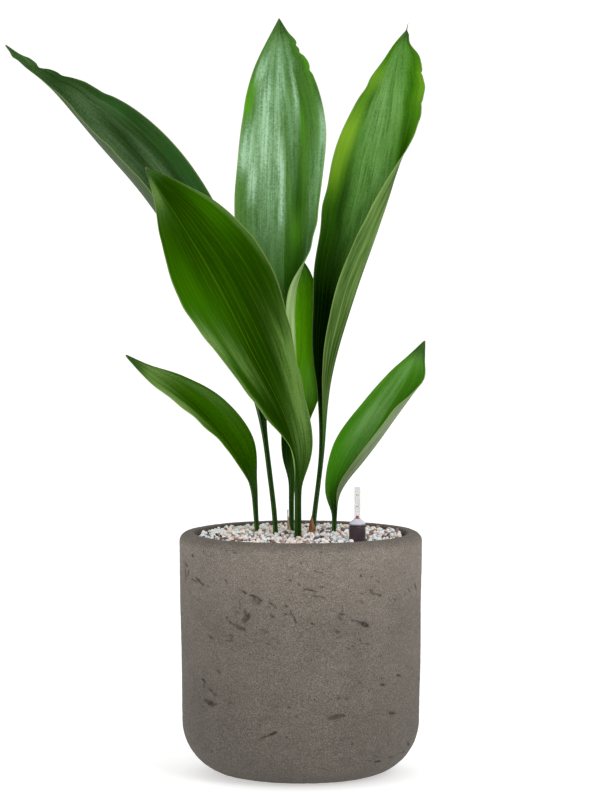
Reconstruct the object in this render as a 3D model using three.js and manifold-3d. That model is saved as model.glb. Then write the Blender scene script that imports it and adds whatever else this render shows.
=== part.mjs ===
// Potted cast iron plant: seven leathery leaves on channelled stalks spring from a creeping rhizome,
// in a round cement-look planter filled with mineral granulate, with a float gauge for the water level.
// Millimetres, +Z up, the origin at the centre of the planter's underside, -Y towards the front.

import * as THREE from 'three';
import { mergeVertices } from 'three/addons/utils/BufferGeometryUtils.js';
import Module from 'manifold-3d';

const wasm = await Module();
wasm.setup();

// Planter
const potHeight = 250;
const rimRadius = 125;
const wallTaper = 2.8;
const footCorner = 56;
const wallThickness = 17.5;
const lipOuterRound = 9;
const lipInnerRound = 5;
const floorThickness = 20;
const roundSides = 48;

// Clearance between pieces that touch
const seatGap = 0.35;

// Granulate
const fillHeight = 243;
const grainPitch = 12;
const grainTop = 5;
const grainShare = 0.34;

// Water level gauge
const gaugeX = 57.6;
const gaugeY = -35;
const pipeRadius = 8.5;
const pipeWall = 1.5;
const pipeTop = 260;
const sightRadius = 3.7;
const sightTop = 299.6;
const floatRadius = 5.6;
const floatLength = 64;
const floatRod = 1;
const tipRadius = 1.7;
const tipLow = 266.8;
const tipLength = 3.4;

// Rhizome
const rhizomeY = 18;
const rhizomeZ = 202;
const rhizomeRadius = 8;
const rhizomeFrom = -56;
const rhizomeTo = 45;
const budTop = 213.6;
const budRadius = 3.2;
const stalkHole = 4;
const sheathHole = 6.9;
const rootRadius = 1.7;

// Leaves: thickness of the blade and of the midrib, and how far the rib spreads from its line
const bladeThickness = 0.8;
const ribThickness = 2;
const ribSpread = 3;

function rotated(geometry) {
  return geometry.rotateX(Math.PI / 2);
}

function turned(profile, sides = roundSides) {
  return rotated(new THREE.LatheGeometry(profile.map(([r, z]) => new THREE.Vector2(r, z)), sides));
}

// Points of a quarter arc about a centre, between two angles in degrees
function arc(centreR, centreZ, radius, fromDegrees, toDegrees, steps) {
  const points = [];
  for (let i = 0; i <= steps; i += 1) {
    const angle = THREE.MathUtils.degToRad(fromDegrees + (toDegrees - fromDegrees) * i / steps);
    points.push([centreR + radius * Math.cos(angle), centreZ + radius * Math.sin(angle)]);
  }
  return points;
}

function solidOf(geometry) {
  const bare = geometry.clone();
  bare.deleteAttribute('normal');
  bare.deleteAttribute('uv');
  const merged = mergeVertices(bare, 1e-3);
  const kept = [];
  for (let i = 0; i < merged.index.count; i += 3) {
    const corners = [0, 1, 2].map((k) => merged.index.getX(i + k));
    if (new Set(corners).size === 3) {
      kept.push(...corners);
    }
  }
  const mesh = new wasm.Mesh({
    numProp: 3,
    vertProperties: new Float32Array(merged.attributes.position.array),
    triVerts: new Uint32Array(kept),
  });
  return new wasm.Manifold(mesh);
}

function geometryOf(solid) {
  const mesh = solid.getMesh();
  const geometry = new THREE.BufferGeometry();
  geometry.setAttribute('position', new THREE.BufferAttribute(new Float32Array(mesh.vertProperties), 3));
  geometry.setIndex(new THREE.BufferAttribute(new Uint32Array(mesh.triVerts), 1));
  return geometry;
}

// A closed round tube along a curve, its radius given along the way
function taperedTube(curve, radiusAt, steps, sides) {
  const frames = curve.computeFrenetFrames(steps, false);
  const positions = [];
  for (let i = 0; i <= steps; i += 1) {
    const centre = curve.getPointAt(i / steps);
    for (let k = 0; k < sides; k += 1) {
      const angle = 2 * Math.PI * k / sides;
      const spoke = frames.normals[i].clone().multiplyScalar(Math.cos(angle));
      spoke.addScaledVector(frames.binormals[i], Math.sin(angle));
      positions.push(...centre.clone().addScaledVector(spoke, radiusAt(i / steps)).toArray());
    }
  }
  const index = [];
  for (let i = 0; i < steps; i += 1) {
    for (let k = 0; k < sides; k += 1) {
      const a = i * sides + k;
      const b = i * sides + (k + 1) % sides;
      index.push(a, b, b + sides, a, b + sides, a + sides);
    }
  }
  const last = steps * sides;
  for (let k = 1; k < sides - 1; k += 1) {
    index.push(0, k + 1, k, last, last + k, last + k + 1);
  }
  const geometry = new THREE.BufferGeometry();
  geometry.setAttribute('position', new THREE.Float32BufferAttribute(positions, 3));
  geometry.setIndex(index);
  return geometry;
}

function curveThrough(points) {
  return new THREE.CatmullRomCurve3(points.map((p) => new THREE.Vector3(...p)), false, 'catmullrom', 0.5);
}

function seeded(seed) {
  let state = seed;
  return () => {
    state = (state * 1664525 + 1013904223) % 4294967296;
    return state / 4294967296;
  };
}

const part = new THREE.Group();

function addPiece(name, geometry, colour, roughness, metalness = 0) {
  const material = new THREE.MeshStandardMaterial({ color: colour, roughness, metalness });
  const mesh = new THREE.Mesh(geometry, material);
  mesh.name = name;
  part.add(mesh);
}

// Planter: flat base, large foot corner, slightly tapered wall and a soft lip
const footRadius = rimRadius - wallTaper;
const boreRadius = rimRadius - wallThickness;
const boreFoot = boreRadius - wallTaper;
const boreCorner = 24;

function boreProfile(gap) {
  return [
    [0, floorThickness + gap],
    ...arc(boreFoot - boreCorner - gap, floorThickness + boreCorner + gap, boreCorner, -90, 0, 4),
  ];
}

const potProfile = [
  [0, 0],
  ...arc(footRadius - footCorner, footCorner, footCorner, -90, 0, 6),
  ...arc(rimRadius - lipOuterRound, potHeight - lipOuterRound, lipOuterRound, 0, 90, 3),
  ...arc(boreRadius + lipInnerRound, potHeight - lipInnerRound, lipInnerRound, 90, 180, 2),
  ...boreProfile(0).reverse(),
];
addPiece('planter', turned(potProfile), '#7c766e', 0.85);

// Leaves. Each row is one station along the midrib: the place of the midrib, the way that the upper
// face looks (azimuth from the front, elevation), the widths of the left and right half, their rise
// from the midrib and their further turn towards the margin, in degrees.
const leafPlans = {
  leaf_tall_left: {
    wave: [2, 5, 0.1, 0.35],
    across: 4,
    stalk: 4,
    fine: 3,
    rows: [
      [[-26, 20, 214], [30, 0], [2.4, 2.4], [50, 50], [10, 10]],
      [[-26, 20, 228], [30, 0], [2.6, 2.6], [50, 50], [10, 10]],
      [[-28, 21, 266], [30, 0], [2.8, 2.8], [50, 50], [15, 15]],
      [[-33, 25, 308], [30, 0], [3, 3], [50, 50], [20, 20]],
      [[-39, 31, 350], [31, 3], [4.5, 4.5], [50, 50], [25, 25]],
      [[-49, 40, 389], [31, 8], [16, 16], [48, 48], [30, 25]],
      [[-65, 52, 427], [31, 15], [32, 33], [50, 50], [20, 10]],
      [[-108, 72, 513], [31, 32], [48, 50], [45, 48], [20, 5]],
      [[-162, 96, 592], [31, 37], [54, 58], [45, 45], [20, 5]],
      [[-214, 112, 652], [31, 37], [39, 51], [45, 42], [20, 5]],
      [[-255, 128, 700], [28, 37], [14, 23], [35, 40], [20, 5]],
      [[-287, 136, 733], [0, 30], [9, 3.5], [20, 10], [30, 0]],
      [[-312, 142, 752], [-10, 30], [0.5, 0.5], [0, 0], [0, 0]],
    ],
  },
  leaf_tall_middle: {
    wave: [2, 5, 0.3, 0.5],
    across: 4,
    stalk: 3,
    fine: 3,
    rows: [
      [[-3, 14, 214], [-10, 0], [2.4, 2.4], [50, 50], [10, 10]],
      [[-3, 14, 228], [-10, 0], [2.6, 2.6], [50, 50], [10, 10]],
      [[-3, 9, 262], [-10, 0], [2.8, 2.8], [50, 50], [15, 15]],
      [[-3, 9, 320], [-12, 0], [3.2, 3.2], [50, 50], [20, 20]],
      [[-5, 16, 385], [-20, 0], [10, 11], [50, 45], [30, 60]],
      [[-11, 29, 440], [-20, 0], [25, 26], [35, 32], [20, 78]],
      [[-17, 42, 490], [-15, 3], [38, 38], [20, 22], [10, 90]],
      [[-18, 55, 535], [-10, 5], [48, 44], [15, 10], [10, 55]],
      [[-17, 71, 590], [-4, 8], [53, 40], [12, 12], [10, 10]],
      [[-18, 95, 667], [4, 10], [46, 44], [10, 8], [8, 8]],
      [[-21, 119, 725], [8, 12], [29, 31], [8, 8], [5, 5]],
      [[-23, 144, 780], [8, 12], [0.5, 0.5], [5, 5], [0, 0]],
    ],
  },
  leaf_front: {
    wave: [2, 4, 0, 0.4],
    across: 4,
    stalk: 3,
    fine: 3,
    rows: [
      [[-3, 2, 214], [0, 0], [2.4, 2.4], [50, 50], [10, 10]],
      [[-3, 2, 228], [0, 0], [2.6, 2.6], [50, 50], [10, 10]],
      [[-3, -11, 256], [0, 0], [2.8, 2.8], [50, 50], [15, 15]],
      [[-3, -14, 295], [0, 0], [3.6, 4.4], [50, 50], [20, 20]],
      [[-7, -17, 334], [0, 0], [3.5, 20], [60, 20], [10, 0]],
      [[-19, -22, 377], [10, 5], [24, 28], [34, 20], [0, -50]],
      [[-49, -27, 435], [20, 10], [38, 58], [20, 15], [0, -52]],
      [[-86, -25, 508], [18, 15], [49, 60], [12, 5], [5, -5]],
      [[-119, -16, 563], [15, 15], [31, 46], [8, 5], [5, 5]],
      [[-142, -4, 598], [10, 20], [11, 23], [8, 5], [25, 5]],
      [[-159, 5, 625], [10, 20], [0.5, 0.5], [5, 5], [0, 0]],
    ],
  },
  leaf_tall_right: {
    wave: [2, 4, 0.2, 0.4],
    across: 5,
    stalk: 3,
    fine: 4,
    rows: [
      [[13, 24, 214], [-30, 0], [2.4, 2.4], [50, 50], [10, 10]],
      [[13, 24, 228], [-30, 0], [2.6, 2.6], [50, 50], [10, 10]],
      [[14, 29, 258], [-35, 0], [2.8, 2.8], [50, 50], [15, 15]],
      [[22, 38, 325], [-40, 0], [3.2, 3.2], [50, 50], [20, 20]],
      [[27, 46, 385], [-45, 0], [10, 14], [50, 30], [30, 80]],
      [[36, 56, 440], [-45, 0], [25, 34], [40, 20], [10, 100]],
      [[51, 68, 499], [-40, 3], [37, 44], [28, 15], [10, 122]],
      [[73, 88, 582], [-25, 8], [48, 49], [14, 10], [10, 98]],
      [[87, 107, 649], [-8, 10], [46, 38], [8, 8], [8, 50]],
      [[96, 124, 706], [4, 12], [28, 33], [8, 8], [5, 10]],
      [[102, 137, 744], [4, 12], [9, 24], [8, 8], [5, 5]],
      [[112, 148, 768], [4, 12], [0.5, 0.5], [5, 5], [0, 0]],
    ],
  },
  leaf_middle_back: {
    wave: [1.2, 4, 0.2, 0.4],
    across: 3,
    stalk: 3,
    fine: 2,
    rows: [
      [[-9, 28, 214], [10, 0], [2.4, 2.4], [50, 50], [10, 10]],
      [[-9, 28, 228], [10, 0], [2.6, 2.6], [50, 50], [10, 10]],
      [[-10, 34, 262], [10, 0], [2.8, 2.8], [50, 50], [15, 15]],
      [[-10, 37, 294], [10, 0], [4, 4], [45, 45], [20, 20]],
      [[-9, 40, 322], [10, 3], [13, 10], [30, 30], [10, 10]],
      [[-6, 46, 356], [10, 5], [18, 14], [25, 25], [10, 10]],
      [[-3, 54, 388], [10, 10], [20, 22], [20, 20], [10, 10]],
      [[1, 64, 424], [10, 10], [20, 20], [18, 18], [8, 8]],
      [[2, 74, 456], [8, 12], [18, 18], [15, 15], [5, 5]],
      [[2, 86, 490], [5, 12], [14, 15], [10, 10], [5, 5]],
      [[0, 95, 513], [5, 12], [8, 10], [8, 8], [5, 5]],
      [[-4, 102, 533], [5, 12], [0.5, 0.5], [5, 5], [0, 0]],
    ],
  },
  leaf_low_left: {
    wave: [1.5, 4, 0.2, 0.4],
    across: 3,
    stalk: 2,
    fine: 3,
    rows: [
      [[-45, 26, 214], [20, 0], [2.2, 2.2], [50, 50], [10, 10]],
      [[-45, 26, 228], [20, 0], [2.3, 2.3], [50, 50], [10, 10]],
      [[-47, 30, 262], [30, 0], [2.6, 2.6], [50, 50], [20, 20]],
      [[-52, 28, 298], [40, 10], [7, 7], [40, 45], [10, 20]],
      [[-69, 20, 334], [36, 30], [25, 23], [30, 45], [5, 10]],
      [[-97, 11, 370], [32, 40], [31, 24], [25, 45], [5, 5]],
      [[-128, 3, 398], [26, 42], [33, 15], [20, 38], [5, 5]],
      [[-157, -3, 418], [10, 35], [13, 5], [15, 25], [10, 5]],
      [[-179, -8, 433], [0, 30], [0.5, 0.5], [5, 5], [0, 0]],
    ],
  },
  leaf_low_right: {
    wave: [1.5, 4, 0.2, 0.4],
    across: 4,
    stalk: 2,
    fine: 3,
    rows: [
      [[34, 25, 214], [0, 0], [2.2, 2.2], [50, 50], [10, 10]],
      [[34, 25, 228], [0, 0], [2.3, 2.3], [50, 50], [10, 10]],
      [[35, 29, 261], [-10, 0], [2.6, 2.6], [50, 50], [20, 20]],
      [[39, 25, 290], [-25, 5], [15, 14], [40, 40], [10, 60]],
      [[58, 17, 326], [-25, 15], [28, 29], [20, 20], [10, 92]],
      [[82, 9, 364], [-20, 20], [27, 35], [10, 15], [8, 86]],
      [[106, 4, 404], [-15, 25], [19, 34], [8, 10], [5, 70]],
      [[119, 3, 430], [-10, 25], [8, 11], [5, 8], [5, 10]],
      [[127, 4, 447], [-10, 25], [0.5, 0.5], [5, 5], [0, 0]],
    ],
  },
};

function splineOf(rows, column) {
  return curveThrough(rows.map((row) => [...row[column], 0].slice(0, 3)));
}

function towards(azimuth, elevation) {
  const a = THREE.MathUtils.degToRad(azimuth);
  const e = THREE.MathUtils.degToRad(elevation);
  return new THREE.Vector3(Math.sin(a) * Math.cos(e), -Math.cos(a) * Math.cos(e), Math.sin(e));
}

function smooth(x) {
  const c = THREE.MathUtils.clamp(x, 0, 1);
  return c * c * (3 - 2 * c);
}

// One section of a leaf: its upper and lower points from the left margin to the right one
function leafSection(plan, t, across, blade, rib) {
  const place = plan.place.getPoint(t);
  const along = plan.place.getTangent(t);
  const face = plan.face.getPoint(t);
  const up = towards(face.x, face.y);
  up.addScaledVector(along, -up.dot(along)).normalize();
  const right = new THREE.Vector3().crossVectors(along, up);
  const half = plan.half.getPoint(t);
  const rise = plan.rise.getPoint(t);
  const curl = plan.curl.getPoint(t);
  const [height, count, phase, shift] = plan.wave;
  const upper = [];
  const lower = [];
  [0, 1].forEach((side) => {
    const sign = side ? 1 : -1;
    const width = Math.max(side ? half.y : half.x, 0.5);
    const lift = side ? rise.y : rise.x;
    const turn = side ? curl.y : curl.x;
    const swell = THREE.MathUtils.clamp((width - 6) / 20, 0, 1);
    const ripple = height * swell * Math.sin(2 * Math.PI * (count * t + phase + side * shift));
    const point = place.clone();
    for (let k = 1; k <= across; k += 1) {
      const middle = (k - 0.5) / across;
      const angle = THREE.MathUtils.degToRad(lift + turn * smooth((middle - 0.1) / 0.8));
      point.addScaledVector(right, sign * Math.cos(angle) * width / across);
      point.addScaledVector(up, Math.sin(angle) * width / across);
      const normal = right.clone().multiplyScalar(-sign * Math.sin(angle));
      normal.addScaledVector(up, Math.cos(angle));
      const top = point.clone().addScaledVector(normal, ripple * (k / across) ** 2);
      const reach = width * k / across / ribSpread;
      const depth = blade + (rib - blade) * Math.exp(-reach * reach);
      const bottom = top.clone().addScaledVector(normal, -depth);
      if (side) {
        upper.push(top);
        lower.push(bottom);
      } else {
        upper.unshift(top);
        lower.unshift(bottom);
      }
    }
    if (!side) {
      const keel = rib / Math.cos(THREE.MathUtils.degToRad((rise.x + rise.y) / 2));
      upper.push(place.clone());
      lower.push(place.clone().addScaledVector(up, -keel));
    }
  });
  return { upper, lower };
}

// Sections stand one to a row along the stalk and closer together along the blade
function sectionPlaces(plan) {
  const spans = plan.rows.length - 1;
  const places = [0];
  for (let span = 0; span < spans; span += 1) {
    const parts = span < plan.stalk ? 1 : plan.fine;
    for (let k = 1; k <= parts; k += 1) {
      places.push((span + k / parts) / spans);
    }
  }
  return places;
}

// A closed leaf or sheath: upper and lower faces are split into triangles alike
function leafGeometry(plan, blade, rib) {
  const wide = 2 * plan.across + 1;
  const places = sectionPlaces(plan);
  const positions = [];
  for (const t of places) {
    const section = leafSection(plan, t, plan.across, blade, rib);
    section.upper.forEach((p) => positions.push(...p.toArray()));
    section.lower.forEach((p) => positions.push(...p.toArray()));
  }
  const top = (i, j) => i * 2 * wide + j;
  const low = (i, j) => top(i, j) + wide;
  const index = [];
  const end = places.length - 1;
  for (let i = 0; i < end; i += 1) {
    for (let j = 0; j < wide - 1; j += 1) {
      index.push(top(i, j), top(i, j + 1), top(i + 1, j + 1));
      index.push(top(i, j), top(i + 1, j + 1), top(i + 1, j));
      index.push(low(i, j), low(i + 1, j + 1), low(i, j + 1));
      index.push(low(i, j), low(i + 1, j), low(i + 1, j + 1));
    }
    const edge = wide - 1;
    index.push(top(i, edge), low(i, edge), low(i + 1, edge));
    index.push(top(i, edge), low(i + 1, edge), top(i + 1, edge));
    index.push(top(i, 0), low(i + 1, 0), low(i, 0));
    index.push(top(i, 0), top(i + 1, 0), low(i + 1, 0));
  }
  for (let j = 0; j < wide - 1; j += 1) {
    index.push(top(0, j), low(0, j), low(0, j + 1), top(0, j), low(0, j + 1), top(0, j + 1));
    index.push(top(end, j), low(end, j + 1), low(end, j), top(end, j), top(end, j + 1), low(end, j + 1));
  }
  const geometry = new THREE.BufferGeometry();
  geometry.setAttribute('position', new THREE.Float32BufferAttribute(positions, 3));
  geometry.setIndex(index);
  return geometry;
}

function withSplines(plan) {
  return {
    ...plan,
    place: splineOf(plan.rows, 0),
    face: splineOf(plan.rows, 1),
    half: splineOf(plan.rows, 2),
    rise: splineOf(plan.rows, 3),
    curl: splineOf(plan.rows, 4),
  };
}

Object.entries(leafPlans).forEach(([name, rough]) => {
  const plan = withSplines(rough);
  addPiece(name, leafGeometry(plan, bladeThickness, ribThickness), '#3c6b1e', 0.4);
});

// Dry sheaths: papery scales half around the foot of two stalks
const sheathPlans = {
  sheath_left: { stalk: 'leaf_middle_back', top: 279, side: 128 },
  sheath_right: { stalk: 'leaf_tall_right', top: 264, side: 128 },
};
const sheathStand = 4.6;
const sheathHalf = 6.4;

Object.entries(sheathPlans).forEach(([name, { stalk, top, side }]) => {
  const stalkCurve = splineOf(leafPlans[stalk].rows, 0);
  const outward = towards(side + 180, 0);
  const stages = [0, 0.25, 0.5, 0.75, 0.9, 1];
  const rows = stages.map((stage) => {
    const z = budTop + seatGap + (top - budTop) * stage;
    let t = 0;
    while (stalkCurve.getPoint(t).z < z) {
      t += 0.001;
    }
    const foot = stalkCurve.getPoint(t).addScaledVector(outward, sheathStand);
    const half = sheathHalf * (stage < 0.8 ? 1 : Math.max(1 - (stage - 0.8) / 0.22, 0.1));
    return [[foot.x, foot.y, z], [side, 0], [half, half], [4, 4], [84, 84]];
  });
  const plan = withSplines({ wave: [0, 1, 0, 0], across: 3, stalk: 3, fine: 2, rows });
  addPiece(name, leafGeometry(plan, bladeThickness, bladeThickness + 0.2), '#7d5a3c', 0.9);
});

// Rhizome with a bud under each stalk and roots that reach down into the granulate
const budRadii = Object.fromEntries(Object.keys(leafPlans).map((name) => [name, budRadius]));
Object.values(sheathPlans).forEach(({ stalk }) => {
  budRadii[stalk] = sheathHole - 0.8;
});

const rootPaths = [
  [[-50, 18, 200], [-66, 24, 168], [-74, 34, 120], [-70, 44, 74]],
  [[-34, 16, 200], [-44, -6, 166], [-58, -26, 118], [-52, -40, 66]],
  [[-18, 20, 200], [-20, 44, 160], [-34, 62, 112], [-24, 66, 60]],
  [[-4, 15, 200], [-6, -14, 158], [6, -42, 116], [0, -62, 62]],
  [[10, 20, 200], [20, 46, 162], [18, 68, 110], [34, 66, 58]],
  [[24, 16, 200], [30, -4, 160], [24, -18, 108], [32, -8, 52]],
  [[38, 19, 200], [62, 24, 170], [72, 30, 124], [66, 40, 80]],
];

// The same solid serves twice: as the piece, and grown by the clearance as the space that it lies in
function rhizomeSolid(extra) {
  const tubes = [];
  const stem = curveThrough([
    [rhizomeFrom, rhizomeY + 2, rhizomeZ],
    [-30, rhizomeY, rhizomeZ],
    [0, rhizomeY - 1, rhizomeZ - 1],
    [rhizomeTo, rhizomeY + 2, rhizomeZ],
  ]);
  const swell = (s) => rhizomeRadius - (s < 0.02 || s > 0.98 ? 3 : 0) + 0.7 * Math.cos(40 * s) + extra;
  tubes.push([stem, swell, 9, 8]);
  Object.entries(leafPlans).forEach(([name, plan]) => {
    const [x, y] = plan.rows[0][0];
    const bud = curveThrough([[x, (y + rhizomeY) / 2, rhizomeZ], [x, y, rhizomeZ + 4], [x, y, budTop]]);
    tubes.push([bud, () => budRadii[name] + extra, 2, 8]);
  });
  rootPaths.forEach((path) => {
    tubes.push([curveThrough(path), (s) => rootRadius * (1 - 0.55 * s) + extra, 5, 5]);
  });
  let solid = null;
  tubes.forEach(([curve, radius, steps, sides]) => {
    const tube = solidOf(taperedTube(curve, radius, steps, sides));
    solid = solid ? solid.add(tube) : tube;
  });
  if (extra > 0) {
    tubes.forEach(([curve, radius]) => {
      const tip = curve.getPoint(1);
      const ball = new THREE.OctahedronGeometry(radius(1) + extra, 0).translate(tip.x, tip.y, tip.z);
      solid = solid.add(solidOf(ball));
    });
    const head = stem.getPoint(0);
    const knob = new THREE.OctahedronGeometry(swell(0) + extra, 0).translate(head.x, head.y, head.z);
    solid = solid.add(solidOf(knob));
  }
  return solid;
}
addPiece('rhizome', geometryOf(rhizomeSolid(0)), '#b9a98a', 0.8);

// Granulate: a block of fill whose top is covered with separate rough grains
function grainBlock() {
  const random = seeded(41);
  const cells = 2 * Math.ceil(rimRadius / grainPitch);
  const start = -cells * grainPitch / 2;
  const positions = [];
  const lowAt = (i, j) => j * (cells + 1) + i;
  for (let j = 0; j <= cells; j += 1) {
    for (let i = 0; i <= cells; i += 1) {
      const x = start + (i + 0.28 * (random() - 0.5)) * grainPitch;
      const y = start + (j + 0.28 * (random() - 0.5)) * grainPitch;
      positions.push(x, y, fillHeight - 2.5 * random());
    }
  }
  const index = [];
  for (let j = 0; j < cells; j += 1) {
    for (let i = 0; i < cells; i += 1) {
      const ring = [lowAt(i, j), lowAt(i + 1, j), lowAt(i + 1, j + 1), lowAt(i, j + 1)];
      const middle = [0, 1].map((k) => ring.reduce((sum, v) => sum + positions[3 * v + k], 0) / 4);
      if (Math.hypot(...middle) > boreRadius - 0.55 * grainPitch) {
        index.push(ring[0], ring[1], ring[2], ring[0], ring[2], ring[3]);
        continue;
      }
      const first = positions.length / 3;
      const tilt = [random() - 0.5, random() - 0.5];
      const height = fillHeight + grainTop * (0.35 + 0.4 * random());
      ring.forEach((v) => {
        const dx = (positions[3 * v] - middle[0]) * 2 * grainShare * (0.8 + 0.4 * random());
        const dy = (positions[3 * v + 1] - middle[1]) * 2 * grainShare * (0.8 + 0.4 * random());
        positions.push(middle[0] + dx, middle[1] + dy, height + 0.5 * (tilt[0] * dx + tilt[1] * dy));
      });
      for (let k = 0; k < 4; k += 1) {
        const next = (k + 1) % 4;
        index.push(ring[k], ring[next], first + next, ring[k], first + next, first + k);
      }
      index.push(first, first + 1, first + 2, first, first + 2, first + 3);
    }
  }
  const under = positions.length / 3;
  const rim = [];
  for (let i = 0; i < cells; i += 1) {
    rim.push(lowAt(i, 0));
  }
  for (let j = 0; j < cells; j += 1) {
    rim.push(lowAt(cells, j));
  }
  for (let i = cells; i > 0; i -= 1) {
    rim.push(lowAt(i, cells));
  }
  for (let j = cells; j > 0; j -= 1) {
    rim.push(lowAt(0, j));
  }
  rim.forEach((v) => positions.push(positions[3 * v], positions[3 * v + 1], 0));
  const centre = positions.length / 3;
  positions.push(0, 0, 0);
  rim.forEach((v, k) => {
    const next = (k + 1) % rim.length;
    index.push(v, under + k, under + next, v, under + next, rim[next]);
    index.push(under + k, centre, under + next);
  });
  const geometry = new THREE.BufferGeometry();
  geometry.setAttribute('position', new THREE.Float32BufferAttribute(positions, 3));
  geometry.setIndex(index);
  return solidOf(geometry);
}

function stalkCutter(name) {
  const curve = splineOf(leafPlans[name].rows, 0);
  const path = [];
  for (let t = 0; curve.getPoint(t).z < fillHeight + 3 * grainTop; t += 0.03) {
    path.push(curve.getPoint(t));
  }
  path.push(path[path.length - 1].clone().add(new THREE.Vector3(0, 0, grainPitch)));
  path[0].z = budTop - 1;
  const sheathed = Object.values(sheathPlans).some(({ stalk }) => stalk === name);
  const radius = sheathed ? sheathHole : stalkHole;
  const smoothPath = new THREE.CatmullRomCurve3(path, false, 'catmullrom', 0.5);
  return solidOf(taperedTube(smoothPath, () => radius, 6, 8));
}

const fillProfile = [
  ...boreProfile(seatGap),
  [boreRadius - seatGap, potHeight - lipInnerRound],
  [boreRadius - seatGap, potHeight + 2 * grainTop],
  [0, potHeight + 2 * grainTop],
];
const gaugeBore = solidOf(turned([
  [0, 0],
  [pipeRadius + seatGap, 0],
  [pipeRadius + seatGap, potHeight + 4 * grainTop],
  [0, potHeight + 4 * grainTop],
], 16).translate(gaugeX, gaugeY, 0));
let fill = solidOf(turned(fillProfile)).intersect(grainBlock());
fill = fill.subtract(gaugeBore).subtract(rhizomeSolid(seatGap));
Object.keys(leafPlans).forEach((name) => {
  fill = fill.subtract(stalkCutter(name));
});
addPiece('granulate', geometryOf(fill), '#cfc4b8', 0.95);

// Water level gauge: a pipe that stands on the planter's floor, open to the water through three slots
const pipeBottom = floorThickness + seatGap;
const pipeBore = pipeRadius - pipeWall;
const pipeFloor = 2;
const slotWidth = 3;
const slotHeight = 24;
let pipe = solidOf(turned([
  [0, pipeBottom],
  [pipeRadius, pipeBottom],
  [pipeRadius, pipeTop - 0.8],
  [pipeRadius - 0.8, pipeTop],
  [pipeBore, pipeTop],
  [pipeBore, pipeBottom + pipeFloor],
  [0, pipeBottom + pipeFloor],
], 16));
for (let k = 0; k < 3; k += 1) {
  const slot = new THREE.BoxGeometry(pipeRadius, slotWidth, slotHeight);
  slot.translate(pipeRadius, 0, pipeBottom + pipeFloor + 1 + slotHeight / 2);
  slot.rotateZ(2 * Math.PI * k / 3);
  pipe = pipe.subtract(solidOf(slot));
}
const pipeGeometry = geometryOf(pipe);
pipeGeometry.translate(gaugeX, gaugeY, 0);
addPiece('gauge_pipe', pipeGeometry, '#3a2c33', 0.45);

// Clear cap: a dome that plugs the pipe and carries the closed sight tube
const plugRadius = pipeBore - seatGap;
const plugDepth = 4;
const domeFoot = pipeTop + seatGap;
const domeTop = 267;
const sightBore = 2.7;
const glassProfile = [
  [sightBore, domeFoot - plugDepth],
  [plugRadius, domeFoot - plugDepth],
  [plugRadius, domeFoot],
  [pipeRadius - 0.3, domeFoot],
  [pipeRadius - 0.6, domeFoot + 2],
  [pipeRadius - 2.6, domeFoot + 4.6],
  [sightRadius + 0.4, domeTop],
  [sightRadius, domeTop + 1],
  ...arc(sightRadius - 1.4, sightTop - 1.4, 1.4, 0, 90, 2),
  [0, sightTop],
  [0, sightTop - 1.2],
  [sightBore, sightTop - 1.2],
  [sightBore, domeFoot - plugDepth],
];
addPiece('gauge_sight_glass', turned(glassProfile, 16).translate(gaugeX, gaugeY, 0), '#e8eaea', 0.08);

// Float: a buoyant cylinder, its rod and the red pointer tip, all one moving piece
const floatBottom = pipeBottom + pipeFloor + seatGap;
const floatProfile = [
  [0, floatBottom],
  [floatRadius, floatBottom],
  [floatRadius, floatBottom + floatLength],
  [floatRod, floatBottom + floatLength + 3],
  [floatRod, tipLow],
  [tipRadius, tipLow + 0.5],
  [tipRadius, tipLow + tipLength - 0.8],
  [0, tipLow + tipLength],
];
addPiece('gauge_float', turned(floatProfile, 12).translate(gaugeX, gaugeY, 0), '#c8442c', 0.5);

export default part;
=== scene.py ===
import math
from functools import partial

import bmesh
import bpy
import numpy as np
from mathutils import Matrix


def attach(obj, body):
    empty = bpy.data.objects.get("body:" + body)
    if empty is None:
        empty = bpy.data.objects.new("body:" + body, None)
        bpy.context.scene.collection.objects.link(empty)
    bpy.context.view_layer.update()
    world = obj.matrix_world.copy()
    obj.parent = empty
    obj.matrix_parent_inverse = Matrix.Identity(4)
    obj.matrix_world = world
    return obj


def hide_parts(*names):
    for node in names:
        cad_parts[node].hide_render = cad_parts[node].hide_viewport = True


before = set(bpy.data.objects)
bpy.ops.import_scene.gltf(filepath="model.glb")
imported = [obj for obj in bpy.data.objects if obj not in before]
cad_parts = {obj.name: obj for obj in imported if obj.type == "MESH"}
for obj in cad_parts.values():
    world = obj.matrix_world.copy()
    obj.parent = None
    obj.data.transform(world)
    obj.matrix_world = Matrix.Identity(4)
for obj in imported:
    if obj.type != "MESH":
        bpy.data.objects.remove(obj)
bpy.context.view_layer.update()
print("frame loaded")


# Small tools: all shapes below are in millimetres and turned to metres when a mesh is made

def linear(hexColour):
    parts = [int(hexColour[k:k + 2], 16) / 255 for k in (1, 3, 5)]
    return [p / 12.92 if p <= 0.04045 else ((p + 0.055) / 1.055) ** 2.4 for p in parts] + [1]


def setInputs(node, inputs):
    # inputs by name, or listed in the node's own order; each is a number, a hex colour, a node or a socket
    for name, value in inputs.items() if isinstance(inputs, dict) else enumerate(inputs):
        if isinstance(value, bpy.types.Node):
            value = value.outputs[0]
        if isinstance(value, bpy.types.NodeSocket):
            node.id_data.links.new(value, node.inputs[name])
        else:
            node.inputs[name].default_value = linear(value) if isinstance(value, str) else value


def addNode(tree, kind, inputs=(), operation=None, stops=None, **settings):
    node = tree.nodes.new("ShaderNode" + kind)
    if operation:
        node.operation = operation
    for name, value in settings.items():
        setattr(node, name, value)
    if stops:
        while len(node.color_ramp.elements) < len(stops):
            node.color_ramp.elements.new(0.5)
        for element, (place, colour) in zip(node.color_ramp.elements, stops):
            element.position = place
            element.color = linear(colour) if isinstance(colour, str) else [colour] * 3 + [1]
    setInputs(node, inputs)
    return node


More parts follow.
